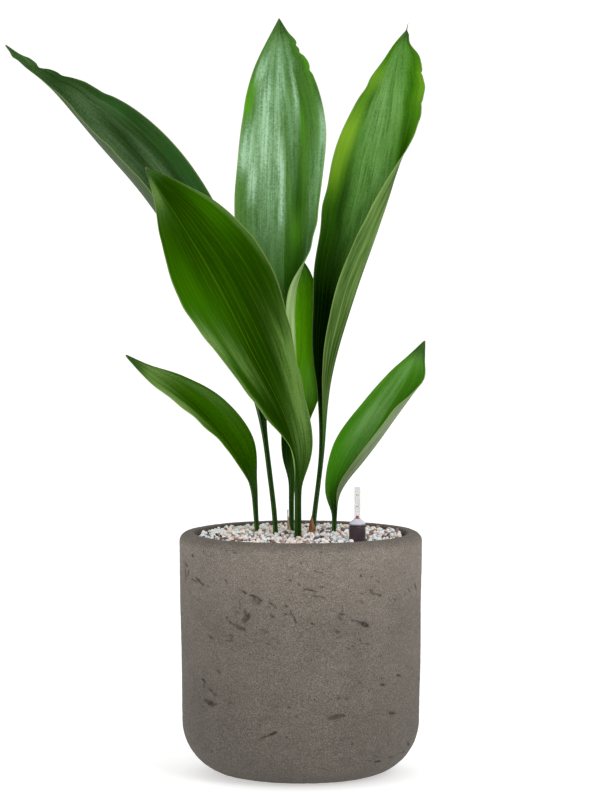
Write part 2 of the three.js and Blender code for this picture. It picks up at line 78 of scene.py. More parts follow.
def newMaterial(name, **sockets):
    material = bpy.data.materials.new(name)
    material.use_nodes = True
    shader = material.node_tree.nodes["Principled BSDF"]
    setInputs(shader, {socket.replace("_", " "): value for socket, value in sockets.items()})
    return material, partial(addNode, material.node_tree), shader


def smooth(values):
    held = np.clip(values, 0, 1)
    return held * held * (3 - 2 * held)


def valueNoise(points, size, seed):
    # smooth noise from -1 to 1 whose cells are size mm wide
    lattice = np.random.default_rng(seed).uniform(-1, 1, (32, 32, 32))
    cell = np.floor(points / size).astype(int)
    part = smooth(points / size - cell)
    total = np.zeros(len(points))
    for corner in np.ndindex(2, 2, 2):
        weight = np.prod(np.where(corner, part, 1 - part), axis=1)
        total += weight * lattice[tuple(((cell + corner) % 32).T)]
    return total


def addPiece(name, points, faces, materials, replaced=(), body="potted_plant", faceSlots=None,
             values=None, sharp=None):
    mesh = bpy.data.meshes.new(name)
    mesh.from_pydata((np.asarray(points) / 1000).tolist(), [], [list(map(int, f)) for f in faces])
    for key, numbers in (values or {}).items():
        mesh.attributes.new(key, "FLOAT", "POINT").data.foreach_set("value", np.asarray(numbers, np.float32))
    for material in materials:
        mesh.materials.append(material)
    if faceSlots is not None:
        mesh.polygons.foreach_set("material_index", np.asarray(faceSlots, np.int32))
    mesh.polygons.foreach_set("use_smooth", [True] * len(mesh.polygons))
    if sharp:
        mesh.set_sharp_from_angle(angle=math.radians(sharp))
    mesh.update()
    piece = bpy.data.objects.new(name, mesh)
    bpy.context.scene.collection.objects.link(piece)
    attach(piece, body)
    if replaced:
        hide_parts(*replaced)
    return piece


def arcPoints(centreR, centreZ, radius, start, end, count):
    angles = np.radians(np.linspace(start, end, count + 1))
    return [(centreR + radius * math.cos(a), centreZ + radius * math.sin(a)) for a in angles]


def aroundAxis(centre, radius, angle, height):
    # angles count from the front towards +X
    return centre[0] + radius * math.sin(angle), centre[1] - radius * math.cos(angle), height


def turned(profile, columns, centre=(0, 0), angles=None):
    # profile runs from the axis outwards, up the outside and back
    points, rings, faces, turns = [], [], [], []
    angles = 2 * np.pi * np.arange(columns) / columns if angles is None else angles
    for radius, height in profile:
        if radius < 1e-6:
            rings.append([len(points)] * columns)
            points.append((*centre, height))
            turns.append(0)
            continue
        rings.append(list(range(len(points), len(points) + columns)))
        points += [aroundAxis(centre, radius, a, height) for a in angles]
        turns += angles.tolist()
    for low, high in zip(rings, rings[1:]):
        for j in range(columns):
            k = (j + 1) % columns
            faces.append(list(dict.fromkeys([low[j], low[k], high[k], high[j]])))
    return np.array(points), [f for f in faces if len(f) > 2], rings, np.array(turns)


# Planter: cast fibre stone, a soft lip, a slightly tapered wall and a large foot corner

planterShape = {
    "height": 250, "rimRadius": 125, "wallTaper": 2.8, "wall": 17.5, "footCorner": 56,
    "lipOuter": 9, "lipInner": 5, "floor": 20, "boreCorner": 24, "columns": 480, "frontShare": 0.68,
    "waviness": 0.35, "waveSize": 60, "grain": 0.16, "grainSize": 3.4,
    "backTears": 70, "tearLength": (3, 15), "tearDepth": (0.8, 1.4), "pits": 50, "pitSize": (1.6, 2.6),
}
# torn streaks and pits of the front, as seen from there: from x, from mm below the rim, to x, to mm below,
# width, strength
planterTears = [
    (-118, 18, -115, 22, 3, 1), (-118, 22, -117, 35, 3.2, 1), (-114, 25, -115, 31, 2.2, 0.8),
    (-112, 34, -105, 37, 2.4, 0.9), (-108, 32, -102, 36, 2, 0.8), (-104, 36, -97, 42, 2.4, 0.9),
    (-95, 40, -93, 42, 1.8, 0.7), (-111, 11, -109, 11, 2.2, 0.9), (-117, 43, -111, 49, 1.8, 0.5),
    (-78, 34, -74, 38, 2, 0.7), (-61, 45, -52, 51, 2.2, 1), (-52, 50, -44, 53, 3, 1),
    (-45, 52, -38, 57, 2.6, 1), (-50, 55, -42, 59, 6, 0.5), (-33, 58, -28, 60, 2, 0.8),
    (-28, 60, -24, 65, 1.8, 0.7), (-35, 62, -31, 63, 1.8, 0.6), (-16, 61, -12, 63, 2.6, 1),
    (-12, 65, -5, 76, 2, 0.5), (-18, 69, -11, 71, 1.8, 0.5), (-7, 74, -5, 78, 2.2, 0.7),
    (-62, 56, -61, 62, 1.8, 0.6), (-57, 65, -55, 71, 3, 0.55), (-58, 77, -52, 71, 6.5, 0.7),
    (-74, 76, -69, 79, 2.2, 0.7), (-68, 80, -58, 85, 4, 0.55), (-62, 81, -55, 87, 3, 0.6),
    (-75, 73, -73, 73, 1.8, 0.6), (-73, 89, -68, 92, 2, 0.6), (-76, 96, -71, 97, 1.8, 0.6),
    (-71, 92, -69, 97, 3, 0.4), (-93, 92, -89, 94, 2.2, 0.7), (-65, 67, -61, 69, 1.8, 0.5),
    (-41, 85, -33, 88, 3, 0.35), (-35, 99, -30, 101, 1.8, 0.7), (-69, 8, -65, 8, 1.6, 0.7),
    (-12, 35, -10, 36, 2.4, 0.8), (-3, 39, -1, 41, 2.2, 0.8), (-39, 114, -38, 114, 2, 0.6),
    (-31, 70, -26, 74, 3, 0.35), (1, 46, 7, 44, 2.2, 0.6), (7, 45, 15, 47, 2.6, 0.7),
    (1, 49, 5, 51, 1.8, 0.5), (16, 42, 25, 42, 2.2, 0.9), (12, 51, 19, 53, 2, 0.5),
    (19, 51, 25, 54, 1.8, 0.4), (13, 26, 15, 27, 2.2, 0.7), (15, 27, 23, 28, 1.6, 0.35),
    (29, 29, 39, 34, 1.6, 0.35), (61, 23, 61, 26, 1.8, 0.5), (60, 30, 61, 32, 2.2, 0.7),
    (75, 35, 79, 38, 1.8, 0.5), (69, 45, 73, 49, 4, 0.6), (73, 48, 79, 51, 2, 0.7),
    (78, 50, 81, 51, 2.6, 1), (83, 47, 85, 48, 1.8, 0.6), (60, 49, 63, 49, 2, 0.8),
    (59, 56, 63, 59, 3, 0.35), (88, 53, 92, 58, 1.8, 0.4), (94, 55, 96, 55, 2.4, 0.4),
    (104, 28, 106, 28, 1.8, 0.6), (100, 28, 101, 28, 1.8, 0.6), (108, 44, 111, 47, 2, 0.7),
    (116, 40, 118, 44, 3.5, 1), (39, 70, 44, 70, 2.8, 1), (38, 72, 40, 75, 2.6, 0.8),
    (50, 75, 54, 77, 2.2, 0.6), (55, 76, 61, 78, 2, 0.6), (60, 78, 67, 81, 4.4, 1),
    (10, 79, 14, 80, 2.2, 0.9), (20, 80, 22, 80, 1.6, 0.6), (35, 87, 39, 88, 4, 0.7),
    (47, 104, 49, 105, 2.2, 0.7), (49, 102, 55, 102, 1.6, 0.4), (61, 99, 71, 100, 2.2, 0.35),
    (105, 122, 110, 122, 1.8, 0.7), (41, 66, 43, 66, 1.6, 0.6), (-101, 135, -97, 138, 3, 1),
    (-98, 137, -99, 142, 3.4, 1), (-94, 145, -90, 147, 2.4, 1), (-89, 149, -85, 152, 3, 0.55),
    (-105, 152, -102, 154, 1.6, 0.7), (-98, 157, -87, 161, 5.5, 0.75), (-102, 163, -99, 163, 1.6, 0.6),
    (-86, 126, -82, 129, 4, 0.45), (-74, 159, -70, 159, 2.4, 0.6), (-13, 164, -11, 164, 2.6, 0.7),
    (-6, 173, -3, 173, 1.5, 0.5), (-42, 197, -39, 194, 2, 0.7), (-39, 194, -31, 192, 1.9, 0.8),
    (-32, 192, -25, 189, 2.6, 0.95), (-55, 186, -50, 186, 1.6, 0.6), (-68, 193, -61, 194, 1.5, 0.4),
    (-59, 191, -55, 191, 1.5, 0.4), (-15, 194, -14, 194, 2.2, 0.8), (-83, 199, -81, 200, 1.8, 0.7),
    (-93, 207, -90, 208, 1.8, 0.5), (4, 212, 9, 212, 1.5, 0.6), (97, 131, 102, 132, 3, 1),
    (58, 139, 61, 139, 2.2, 0.8), (80, 141, 85, 141, 2.2, 0.9), (94, 140, 96, 140, 1.6, 0.7),
    (37, 155, 41, 155, 2.6, 1), (44, 155, 48, 155, 2, 0.7), (27, 175, 43, 172, 4.2, 0.6),
    (33, 171, 46, 172, 1.9, 0.9), (89, 169, 97, 170, 3, 0.6), (51, 181, 56, 182, 2, 0.45),
    (40, 197, 44, 197, 1.6, 0.5), (37, 201, 40, 201, 1.6, 0.5), (74, 219, 83, 218, 2.6, 0.9),
    (68, 218, 72, 218, 2, 0.6), (89, 214, 93, 214, 3, 0.3), (73, 212, 80, 215, 1.6, 0.35),
    (109, 199, 111, 202, 3, 0.9), (104, 209, 106, 209, 2.2, 0.6), (20, 225, 26, 226, 1.6, 0.4),
]


def potProfile(shape):
    rim, height, floor = shape["rimRadius"], shape["height"], shape["floor"]
    foot, bore = rim - shape["wallTaper"], rim - shape["wall"]
    boreFoot = bore - shape["wallTaper"]
    corner, boreCorner = shape["footCorner"], shape["boreCorner"]
    lip, inner = shape["lipOuter"], shape["lipInner"]
    lipFoot, boreTop, boreLow = height - lip, height - inner, floor + boreCorner
    base = [(r * (foot - corner), 0) for r in (0, 0.3, 0.6, 0.85)]
    wall = [(foot + (rim - foot) * w, corner + (lipFoot - corner) * w) for w in np.linspace(0, 1, 121)[1:-1]]
    boreWall = [(bore + (boreFoot - bore) * w, boreTop + (boreLow - boreTop) * w)
                for w in (0.01, 0.02, 0.04, 0.3, 0.7)]
    return (
        base + arcPoints(foot - corner, corner, corner, -90, 0, 54) + wall
        + arcPoints(rim - lip, lipFoot, lip, 0, 90, 9) + [(rim - lip - 1.8, height)]
        + arcPoints(bore + inner, boreTop, inner, 90, 180, 5) + boreWall
        + arcPoints(boreFoot - boreCorner, boreLow, boreCorner, 0, -90, 5) + [(0, floor)]
    )


def onFace(shape, x, down):
    # turn and height of a place on the outer face that is seen from the front, a little from above
    rim, height, corner = shape["rimRadius"], shape["height"], shape["footCorner"]
    z = height - down
    for _ in range(4):
        radius = rim - shape["wallTaper"] * np.clip(1 - z / height, 0, 1)
        if z < corner:
            radius -= corner - math.sqrt(max(corner ** 2 - (corner - z) ** 2, 1))
        depth = math.sqrt(max(radius ** 2 - x ** 2, 1))
        z = max(height - down - (rim - depth) * (0.108 + down / 4000), 2)
    return math.degrees(math.asin(np.clip(x / radius, -1, 1))), z, radius


def pitPlaces(shape, tears):
    # each pit has a turn, height, length, width, tilt, depth and strength
    random = np.random.default_rng(11)
    pits = []
    for fromX, fromDown, toX, toDown, width, strength in tears:
        startTurn, startZ, radius = onFace(shape, fromX, fromDown)
        endTurn, endZ, _ = onFace(shape, toX, toDown)
        across, up = math.radians(endTurn - startTurn) * radius, endZ - startZ
        tilt = math.degrees(math.atan2(up, across))
        pits.append(((startTurn + endTurn) / 2, (startZ + endZ) / 2, math.hypot(across, up) + width,
                     width + 0.5, tilt, min(0.4 * width, 1.4), strength))
    # the rest of the face: tears at the sides and the back, then small pits all round
    for _ in range(shape["backTears"]):
        turn, length = random.uniform(78, 282), random.uniform(*shape["tearLength"])
        pits.append((turn, random.uniform(25, 232), length, max(length * random.uniform(0.2, 0.45), 2.4),
                     random.uniform(-60, 40), random.uniform(*shape["tearDepth"]), random.uniform(0.4, 1)))
    for _ in range(shape["pits"]):
        size = random.uniform(*shape["pitSize"])
        pits.append((random.uniform(-180, 180), random.uniform(20, 238), size * 1.5, size,
                     random.uniform(-60, 60), 0.7, random.uniform(0.3, 0.8)))
    return pits


def buildPlanter(shape, tears, materials):
    profile = potProfile(shape)
    # columns stand closer on the front half
    columns, front = shape["columns"], int(shape["columns"] * shape["frontShare"])
    around = np.append(np.linspace(-90, 90, front, endpoint=False),
                       np.linspace(90, 270, columns - front, endpoint=False))
    points, faces, rings, turns = turned(profile, columns, angles=np.radians(around))
    # outward direction of each ring, from its neighbours on the profile
    ends = np.array([profile[0]] + profile + [profile[-1]])
    along = ends[2:] - ends[:-2]
    outward = np.stack([along[:, 1], -along[:, 0]], 1) / np.linalg.norm(along, axis=1)[:, None]
    normals = np.zeros_like(points)
    outside = np.zeros(len(points))
    for row, ring in enumerate(rings):
        ids = sorted(set(ring))
        normals[ids, 0] = outward[row, 0] * np.sin(turns[ids])
        normals[ids, 1] = -outward[row, 0] * np.cos(turns[ids])
        normals[ids, 2] = outward[row, 1]
        # the middle of the underside and the bore stay plain
        outside[ids] = 4 <= row < len(rings) - 12
    # pitted is how far inside a pit each point lies, for the material, and sunk how deep it lies
    ragged = 0.34 * valueNoise(points, 2.6, 5) + 0.24 * valueNoise(points, 6, 6)
    pitted = np.full(len(points), -1.0)
    sunk = np.zeros(len(points))
    for turn, height, length, width, tilt, depth, strength in pitPlaces(shape, tears):
        sideways = (np.degrees(turns) - turn + 180) % 360 - 180
        across = np.radians(sideways) * np.hypot(points[:, 0], points[:, 1])
        up = points[:, 2] - height
        near = np.flatnonzero((np.abs(across) < length) & (np.abs(up) < length))
        c, s = math.cos(math.radians(tilt)), math.sin(math.radians(tilt))
        long = (across[near] * c + up[near] * s) / (length / 2)
        wide = (up[near] * c - across[near] * s) / (width / 2)
        field = 1 - np.hypot(long, wide) + ragged[near]
        pitted[near] = np.maximum(pitted[near], np.minimum(field, 0.08 + 0.5 * strength))
        sunk[near] = np.maximum(sunk[near], depth * strength * smooth(field / 0.8))
    wavy = shape["waviness"] * (valueNoise(points, shape["waveSize"], 1) + 0.5 * valueNoise(points, 22, 2))
    grainy = shape["grain"] * (valueNoise(points, shape["grainSize"], 3) + 0.6 * valueNoise(points, 7, 4))
    points = points + normals * (outside * (wavy + grainy - sunk))[:, None]
    addPiece("planterBody", points, faces, materials, ["planter"], values={"pit": pitted})


# Granulate: crushed pumice, marble, lava and zeolite, about 4 to 8 mm, loose over a finer bed

granulateShape = {
    "level": 243.4, "banked": 3.2, "radius": 106.2, "smallest": 1.7, "largest": 3.3, "tries": 10000,
    "bedFoot": 205, "bedTop": 239, "bedSteps": 20,
    # two layers: lowest and highest place against the level, and how close the grains stand
    "layers": ((-5.6, -4.2, 0.9), (-2.2, 1.8, 0.84)),
}
grainKinds = {
    "grainsCream": 0.41, "grainsPumice": 0.3, "grainsPlum": 0.14, "grainsRust": 0.08, "grainsTan": 0.07,
}


def grainBall():
    shape = bmesh.new()
    bmesh.ops.create_icosphere(shape, subdivisions=2, radius=1)
    points = np.array([v.co[:] for v in shape.verts])
    faces = np.array([[v.index for v in f.verts] for f in shape.faces])
    shape.free()
    return points, faces


def crushed(ball, random):
    # flat breaks are made by pressing the ball back to a few random planes
    shape = ball * random.uniform(0.78, 1.18, 3)
    for _ in range(7):
        away = random.normal(size=3)
        away /= np.linalg.norm(away)
        beyond = np.maximum(shape @ away - random.uniform(0.52, 0.86), 0)
        shape = shape - beyond[:, None] * away
    spin, _ = np.linalg.qr(random.normal(size=(3, 3)))
    if np.linalg.det(spin) < 0:
        spin[:, 0] *= -1
    return shape @ spin.T


def banked(shape, y):
    # the fill is banked up a little towards the back
    return shape["banked"] * smooth((y + 50) / 90)


def buildGrains(shape, standing, materials):
    random = np.random.default_rng(23)
    ball, ballFaces = grainBall()
    kinds = list(grainKinds)
    shares = np.array(list(grainKinds.values()))
    heaps = {kind: ([], [], []) for kind in kinds}
    for lowest, highest, closeness in shape["layers"]:
        placed = np.zeros((0, 3))
        for _ in range(shape["tries"]):
            size = random.uniform(shape["smallest"], shape["largest"])
            reach = (shape["radius"] - size * 0.8) * math.sqrt(random.uniform())
            turn = random.uniform(0, 2 * math.pi)
            x, y = reach * math.cos(turn), reach * math.sin(turn)
            if any(math.hypot(x - sx, y - sy) < sr + size * 0.8 for sx, sy, sr in standing):
                continue
            apart = np.hypot(placed[:, 0] - x, placed[:, 1] - y)
            if np.any(apart < (placed[:, 2] + size) * closeness):
                continue
            placed = np.vstack([placed, [x, y, size]])
            heap = banked(shape, y) + 0.7 * math.sin(x / 23) * math.cos(y / 19 + 1)
            z = shape["level"] + heap + random.uniform(lowest, highest)
            kind = kinds[random.choice(len(kinds), p=shares / shares.sum())]
            grains, grainFaces, tones = heaps[kind]
            grainFaces.append(ballFaces + len(grains) * len(ball))
            grains.append(crushed(ball, random) * size + [x, y, z])
            tones.append(np.full(len(ball), random.uniform()))
    for kind in kinds:
        grains, grainFaces, tones = heaps[kind]
        addPiece(kind, np.vstack(grains), np.vstack(grainFaces), [materials[kind]],
                 ["granulate"], values={"tone": np.concatenate(tones)}, sharp=38)
        print(kind, len(grains))


def buildBed(shape, pipe, material):
    radius, foot, top = shape["radius"], shape["bedFoot"], shape["bedTop"]
    profile = [(0, foot), (radius - 0.6, foot), (radius, top)]
    profile += [(radius * (1 - s), top) for s in np.linspace(0, 1, shape["bedSteps"])[1:]]
    points, faces, _, _ = turned(profile, 96)
    surface = points[:, 2] > foot + 25
    points[:, 2] += surface * (0.7 * valueNoise(points, 5, 8) + banked(shape, points[:, 1]))
    bed = addPiece("granulateBed", points, faces, [material], ["granulate"])
    # the gauge's pipe stands in a plain hole in the fill
    x, y, radius = pipe
    bpy.ops.mesh.primitive_cylinder_add(vertices=48, radius=(radius - 0.1) / 1000, depth=0.08,
                                        location=(x / 1000, y / 1000, 0.225))
    drill = bpy.context.object
    hole = bed.modifiers.new("pipeHole", "BOOLEAN")
    hole.operation, hole.solver, hole.object = "DIFFERENCE", "EXACT", drill
    bpy.context.view_layer.objects.active = bed
    bpy.ops.object.modifier_apply(modifier=hole.name)
    bpy.data.objects.remove(drill)


# Leaves: each row is the midrib's place (x, y, z), the way that the upper face looks (azimuth, elevation),
# and for the left and right half the width, the rise from the midrib and the further turn to the margin

leafShape = {
    "columns": 34, "bladeStep": 4.2, "stalkStep": 6.5, "bladeLength": 620, "leastHalf": 0.5, "blade": 0.8,
    "rib": 2, "ribSpread": 3, "plication": 0.12, "plicationPitch": 5.6, "groove": 0.45, "grooveWidth": 1.6,
    "edgeWave": 0.9, "edgeWaveSize": 17,
}
leafPlans = {
    "leaf_tall_left": {"wave": [2, 5, 0.1, 0.35], "stalkSpans": 4, "rows": [
        (-26, 20, 214, 30, 0, 2.4, 2.4, 50, 50, 10, 10), (-26, 20, 228, 30, 0, 2.6, 2.6, 50, 50, 10, 10),
        (-28, 21, 266, 30, 0, 2.8, 2.8, 50, 50, 15, 15), (-33, 25, 308, 30, 0, 3, 3, 50, 50, 20, 20),
        (-39, 31, 350, 31, 3, 4.5, 4.5, 50, 50, 25, 25), (-49, 40, 389, 31, 8, 16, 16, 48, 48, 30, 25),
        (-65, 52, 427, 31, 15, 32, 33, 50, 50, 20, 10), (-108, 72, 513, 31, 32, 48, 50, 45, 48, 20, 5),
        (-162, 96, 592, 31, 37, 54, 58, 45, 45, 20, 5), (-214, 112, 652, 31, 37, 39, 51, 45, 42, 20, 5),
        (-255, 128, 700, 28, 37, 14, 23, 35, 40, 20, 5), (-287, 136, 733, 0, 30, 9, 3.5, 20, 10, 30, 0),
        (-312, 142, 752, -10, 30, 0.5, 0.5, 0, 0, 0, 0),
    ]},
    "leaf_tall_middle": {"wave": [2, 5, 0.3, 0.5], "stalkSpans": 3, "rows": [
        (-3, 14, 214, -10, 0, 2.4, 2.4, 50, 50, 10, 10), (-3, 14, 228, -10, 0, 2.6, 2.6, 50, 50, 10, 10),
        (-3, 9, 262, -10, 0, 2.8, 2.8, 50, 50, 15, 15), (-3, 9, 320, -12, 0, 3.2, 3.2, 50, 50, 20, 20),
        (-5, 16, 385, -20, 0, 10, 11, 50, 45, 30, 60), (-11, 29, 440, -20, 0, 25, 26, 35, 32, 20, 78),
        (-17, 42, 490, -15, 3, 38, 38, 20, 22, 10, 90), (-18, 55, 535, -10, 5, 48, 44, 15, 10, 10, 55),
        (-17, 71, 590, -4, 8, 53, 40, 12, 12, 10, 10), (-18, 95, 667, 4, 10, 46, 44, 10, 8, 8, 8),
        (-21, 119, 725, 8, 12, 29, 31, 8, 8, 5, 5), (-23, 144, 780, 8, 12, 0.5, 0.5, 5, 5, 0, 0),
    ]},
    "leaf_front": {"wave": [2, 4, 0, 0.4], "stalkSpans": 3, "rows": [
        (-3, 2, 214, 0, 0, 3.4, 3.4, 46, 46, 10, 10), (-3, 2, 228, 0, 0, 4.2, 4.2, 46, 46, 10, 10),
        (-3, -11, 256, 0, 0, 4.8, 4.8, 46, 46, 15, 15), (-3, -14, 295, 0, 0, 5.2, 5.6, 46, 46, 20, 20),
        (-7, -17, 334, 0, 0, 3.5, 20, 60, 20, 10, 0), (-19, -22, 377, 10, 5, 24, 28, 34, 20, 0, -50),
        (-49, -27, 435, 20, 10, 38, 58, 20, 15, 0, -52), (-86, -25, 508, 18, 15, 49, 60, 12, 5, 5, -5),
        (-119, -16, 563, 15, 15, 31, 46, 8, 5, 5, 5), (-142, -4, 598, 10, 20, 11, 23, 8, 5, 25, 5),
        (-159, 5, 625, 10, 20, 0.5, 0.5, 5, 5, 0, 0),
    ]},
    "leaf_tall_right": {"awn": [1.6, 0, 7.5], "wave": [2, 4, 0.2, 0.4], "stalkSpans": 3, "rows": [
        (13, 24, 214, -30, 0, 2.4, 2.4, 50, 50, 10, 10), (13, 24, 228, -30, 0, 2.6, 2.6, 50, 50, 10, 10),
        (14, 29, 258, -35, 0, 2.8, 2.8, 50, 50, 15, 15), (22, 38, 325, -40, 0, 3.2, 3.2, 50, 50, 20, 20),
        (27, 46, 385, -45, 0, 10, 14, 50, 30, 30, 80), (36, 56, 440, -45, 0, 25, 34, 40, 20, 10, 100),
        (51, 68, 499, -40, 3, 37, 44, 28, 15, 10, 122), (73, 88, 582, -25, 8, 48, 49, 14, 10, 10, 98),
        (87, 107, 649, -8, 10, 46, 38, 8, 8, 8, 50), (96, 124, 706, 4, 12, 28, 33, 8, 8, 5, 10),
        (102, 137, 744, 4, 12, 9, 24, 8, 8, 5, 5), (112, 148, 768, 4, 12, 0.5, 0.5, 5, 5, 0, 0),
    ]},
    "leaf_middle_back": {"wave": [1.2, 4, 0.2, 0.4], "stalkSpans": 3, "rows": [
        (-9, 28, 214, 10, 0, 2.4, 2.4, 50, 50, 10, 10), (-9, 28, 228, 10, 0, 2.6, 2.6, 50, 50, 10, 10),
        (-10, 34, 262, 10, 0, 2.8, 2.8, 50, 50, 15, 15), (-10, 37, 294, 10, 0, 4, 4, 45, 45, 20, 20),
        (-9, 40, 322, 10, 3, 13, 10, 30, 30, 10, 10), (-6, 46, 356, 10, 5, 18, 14, 25, 25, 10, 10),
        (-3, 54, 388, 10, 10, 20, 22, 20, 20, 10, 10), (1, 64, 424, 10, 10, 20, 20, 18, 18, 8, 8),
        (2, 74, 456, 8, 12, 18, 18, 15, 15, 5, 5), (2, 86, 490, 5, 12, 14, 15, 10, 10, 5, 5),
        (0, 95, 513, 5, 12, 8, 10, 8, 8, 5, 5), (-4, 102, 533, 5, 12, 0.5, 0.5, 5, 5, 0, 0),
    ]},
    "leaf_low_left": {"wave": [1.5, 4, 0.2, 0.4], "stalkSpans": 2, "rows": [
        (-45, 26, 214, 20, 0, 2.2, 2.2, 50, 50, 10, 10), (-45, 26, 228, 20, 0, 2.3, 2.3, 50, 50, 10, 10),
        (-47, 30, 262, 30, 0, 2.6, 2.6, 50, 50, 20, 20), (-52, 28, 298, 40, 10, 7, 7, 40, 45, 10, 20),
        (-69, 20, 334, 36, 30, 25, 23, 30, 45, 5, 10), (-97, 11, 370, 32, 40, 31, 24, 25, 45, 5, 5),
        (-128, 3, 398, 26, 42, 33, 15, 20, 38, 5, 5), (-157, -3, 418, 10, 35, 13, 5, 15, 25, 10, 5),
        (-179, -8, 433, 0, 30, 0.5, 0.5, 5, 5, 0, 0),
    ]},
    "leaf_low_right": {"wave": [1.5, 4, 0.2, 0.4], "stalkSpans": 2, "rows": [
        (34, 25, 214, 0, 0, 2.2, 2.2, 50, 50, 10, 10), (34, 25, 228, 0, 0, 2.3, 2.3, 50, 50, 10, 10),
        (35, 29, 261, -10, 0, 2.6, 2.6, 50, 50, 20, 20), (39, 25, 290, -25, 5, 15, 14, 40, 40, 10, 60),
        (58, 17, 326, -25, 15, 28, 29, 20, 20, 10, 92), (82, 9, 364, -20, 20, 27, 35, 10, 15, 8, 86),
        (106, 4, 404, -15, 25, 19, 34, 8, 10, 5, 70), (119, 3, 430, -10, 25, 8, 11, 5, 8, 5, 10),
        (127, 4, 447, -10, 25, 0.5, 0.5, 5, 5, 0, 0),
    ]},
}
# notches in a margin, or bulges where the depth is below 0: side (0 left, 1 right), place along the rows
# from 0 to 1, length, depth
leafNotches = {
    "leaf_tall_middle": [(1, 0.962, 5, -2.4), (1, 0.9525, 1.7, 1.3), (1, 0.9385, 2.4, 1.9),
                         (1, 0.922, 6, -1.3), (1, 0.905, 3, 1.4)],
    "leaf_tall_right": [(1, 0.955, 13, 3.6), (1, 0.858, 2.6, 1.4), (1, 0.829, 8, -2), (1, 0.795, 3, 1),
                        (1, 0.772, 6, -0.9), (0, 0.81, 9, 1.8), (0, 0.87, 22, 1.2), (0, 0.69, 26, -1.3),
                        (0, 0.625, 11, -2.6), (0, 0.56, 22, -3)],
    "leaf_tall_left": [(1, 0.893, 7, 3.4), (1, 0.935, 13, -3), (0, 0.96, 9, -2), (1, 0.853, 5, 1.6),
                       (1, 0.822, 11, -2.6), (1, 0.79, 5, 0.9), (0, 0.66, 50, -5)],
}


def throughRows(rows, t):
    # uniform Catmull-Rom through the rows, with reflected ends; t runs from 0 to 1
    rows = np.asarray(rows, float)
    place = np.clip(t, 0, 1) * (len(rows) - 1)
    span = np.clip(np.floor(place).astype(int), 0, len(rows) - 2)
    f = (place - span)[:, None]
    ends = np.concatenate([[2 * rows[0] - rows[1]], rows, [2 * rows[-1] - rows[-2]]])
    a, b, c, d = ends[span], ends[span + 1], ends[span + 2], ends[span + 3]
    second, third = 2 * a - 5 * b + 4 * c - d, 3 * b - a - 3 * c + d
    return 0.5 * (2 * b + (c - a) * f + second * f ** 2 + third * f ** 3)


def towards(azimuth, elevation):
    a, e = np.radians(azimuth), np.radians(elevation)
    return np.stack([np.sin(a) * np.cos(e), -np.cos(a) * np.cos(e), np.sin(e)], -1)


def sectionPlaces(plan, shape):
    places = [0]
    rows = np.array(plan["rows"], float)[:, :3]
    spans = len(rows) - 1
    for span in range(spans):
        step = shape["stalkStep"] if span < plan["stalkSpans"] else shape["bladeStep"]
        parts = max(2, round(np.linalg.norm(rows[span + 1] - rows[span]) / step))
        places += [(span + k / parts) / spans for k in range(1, parts + 1)]
    return np.array(places)


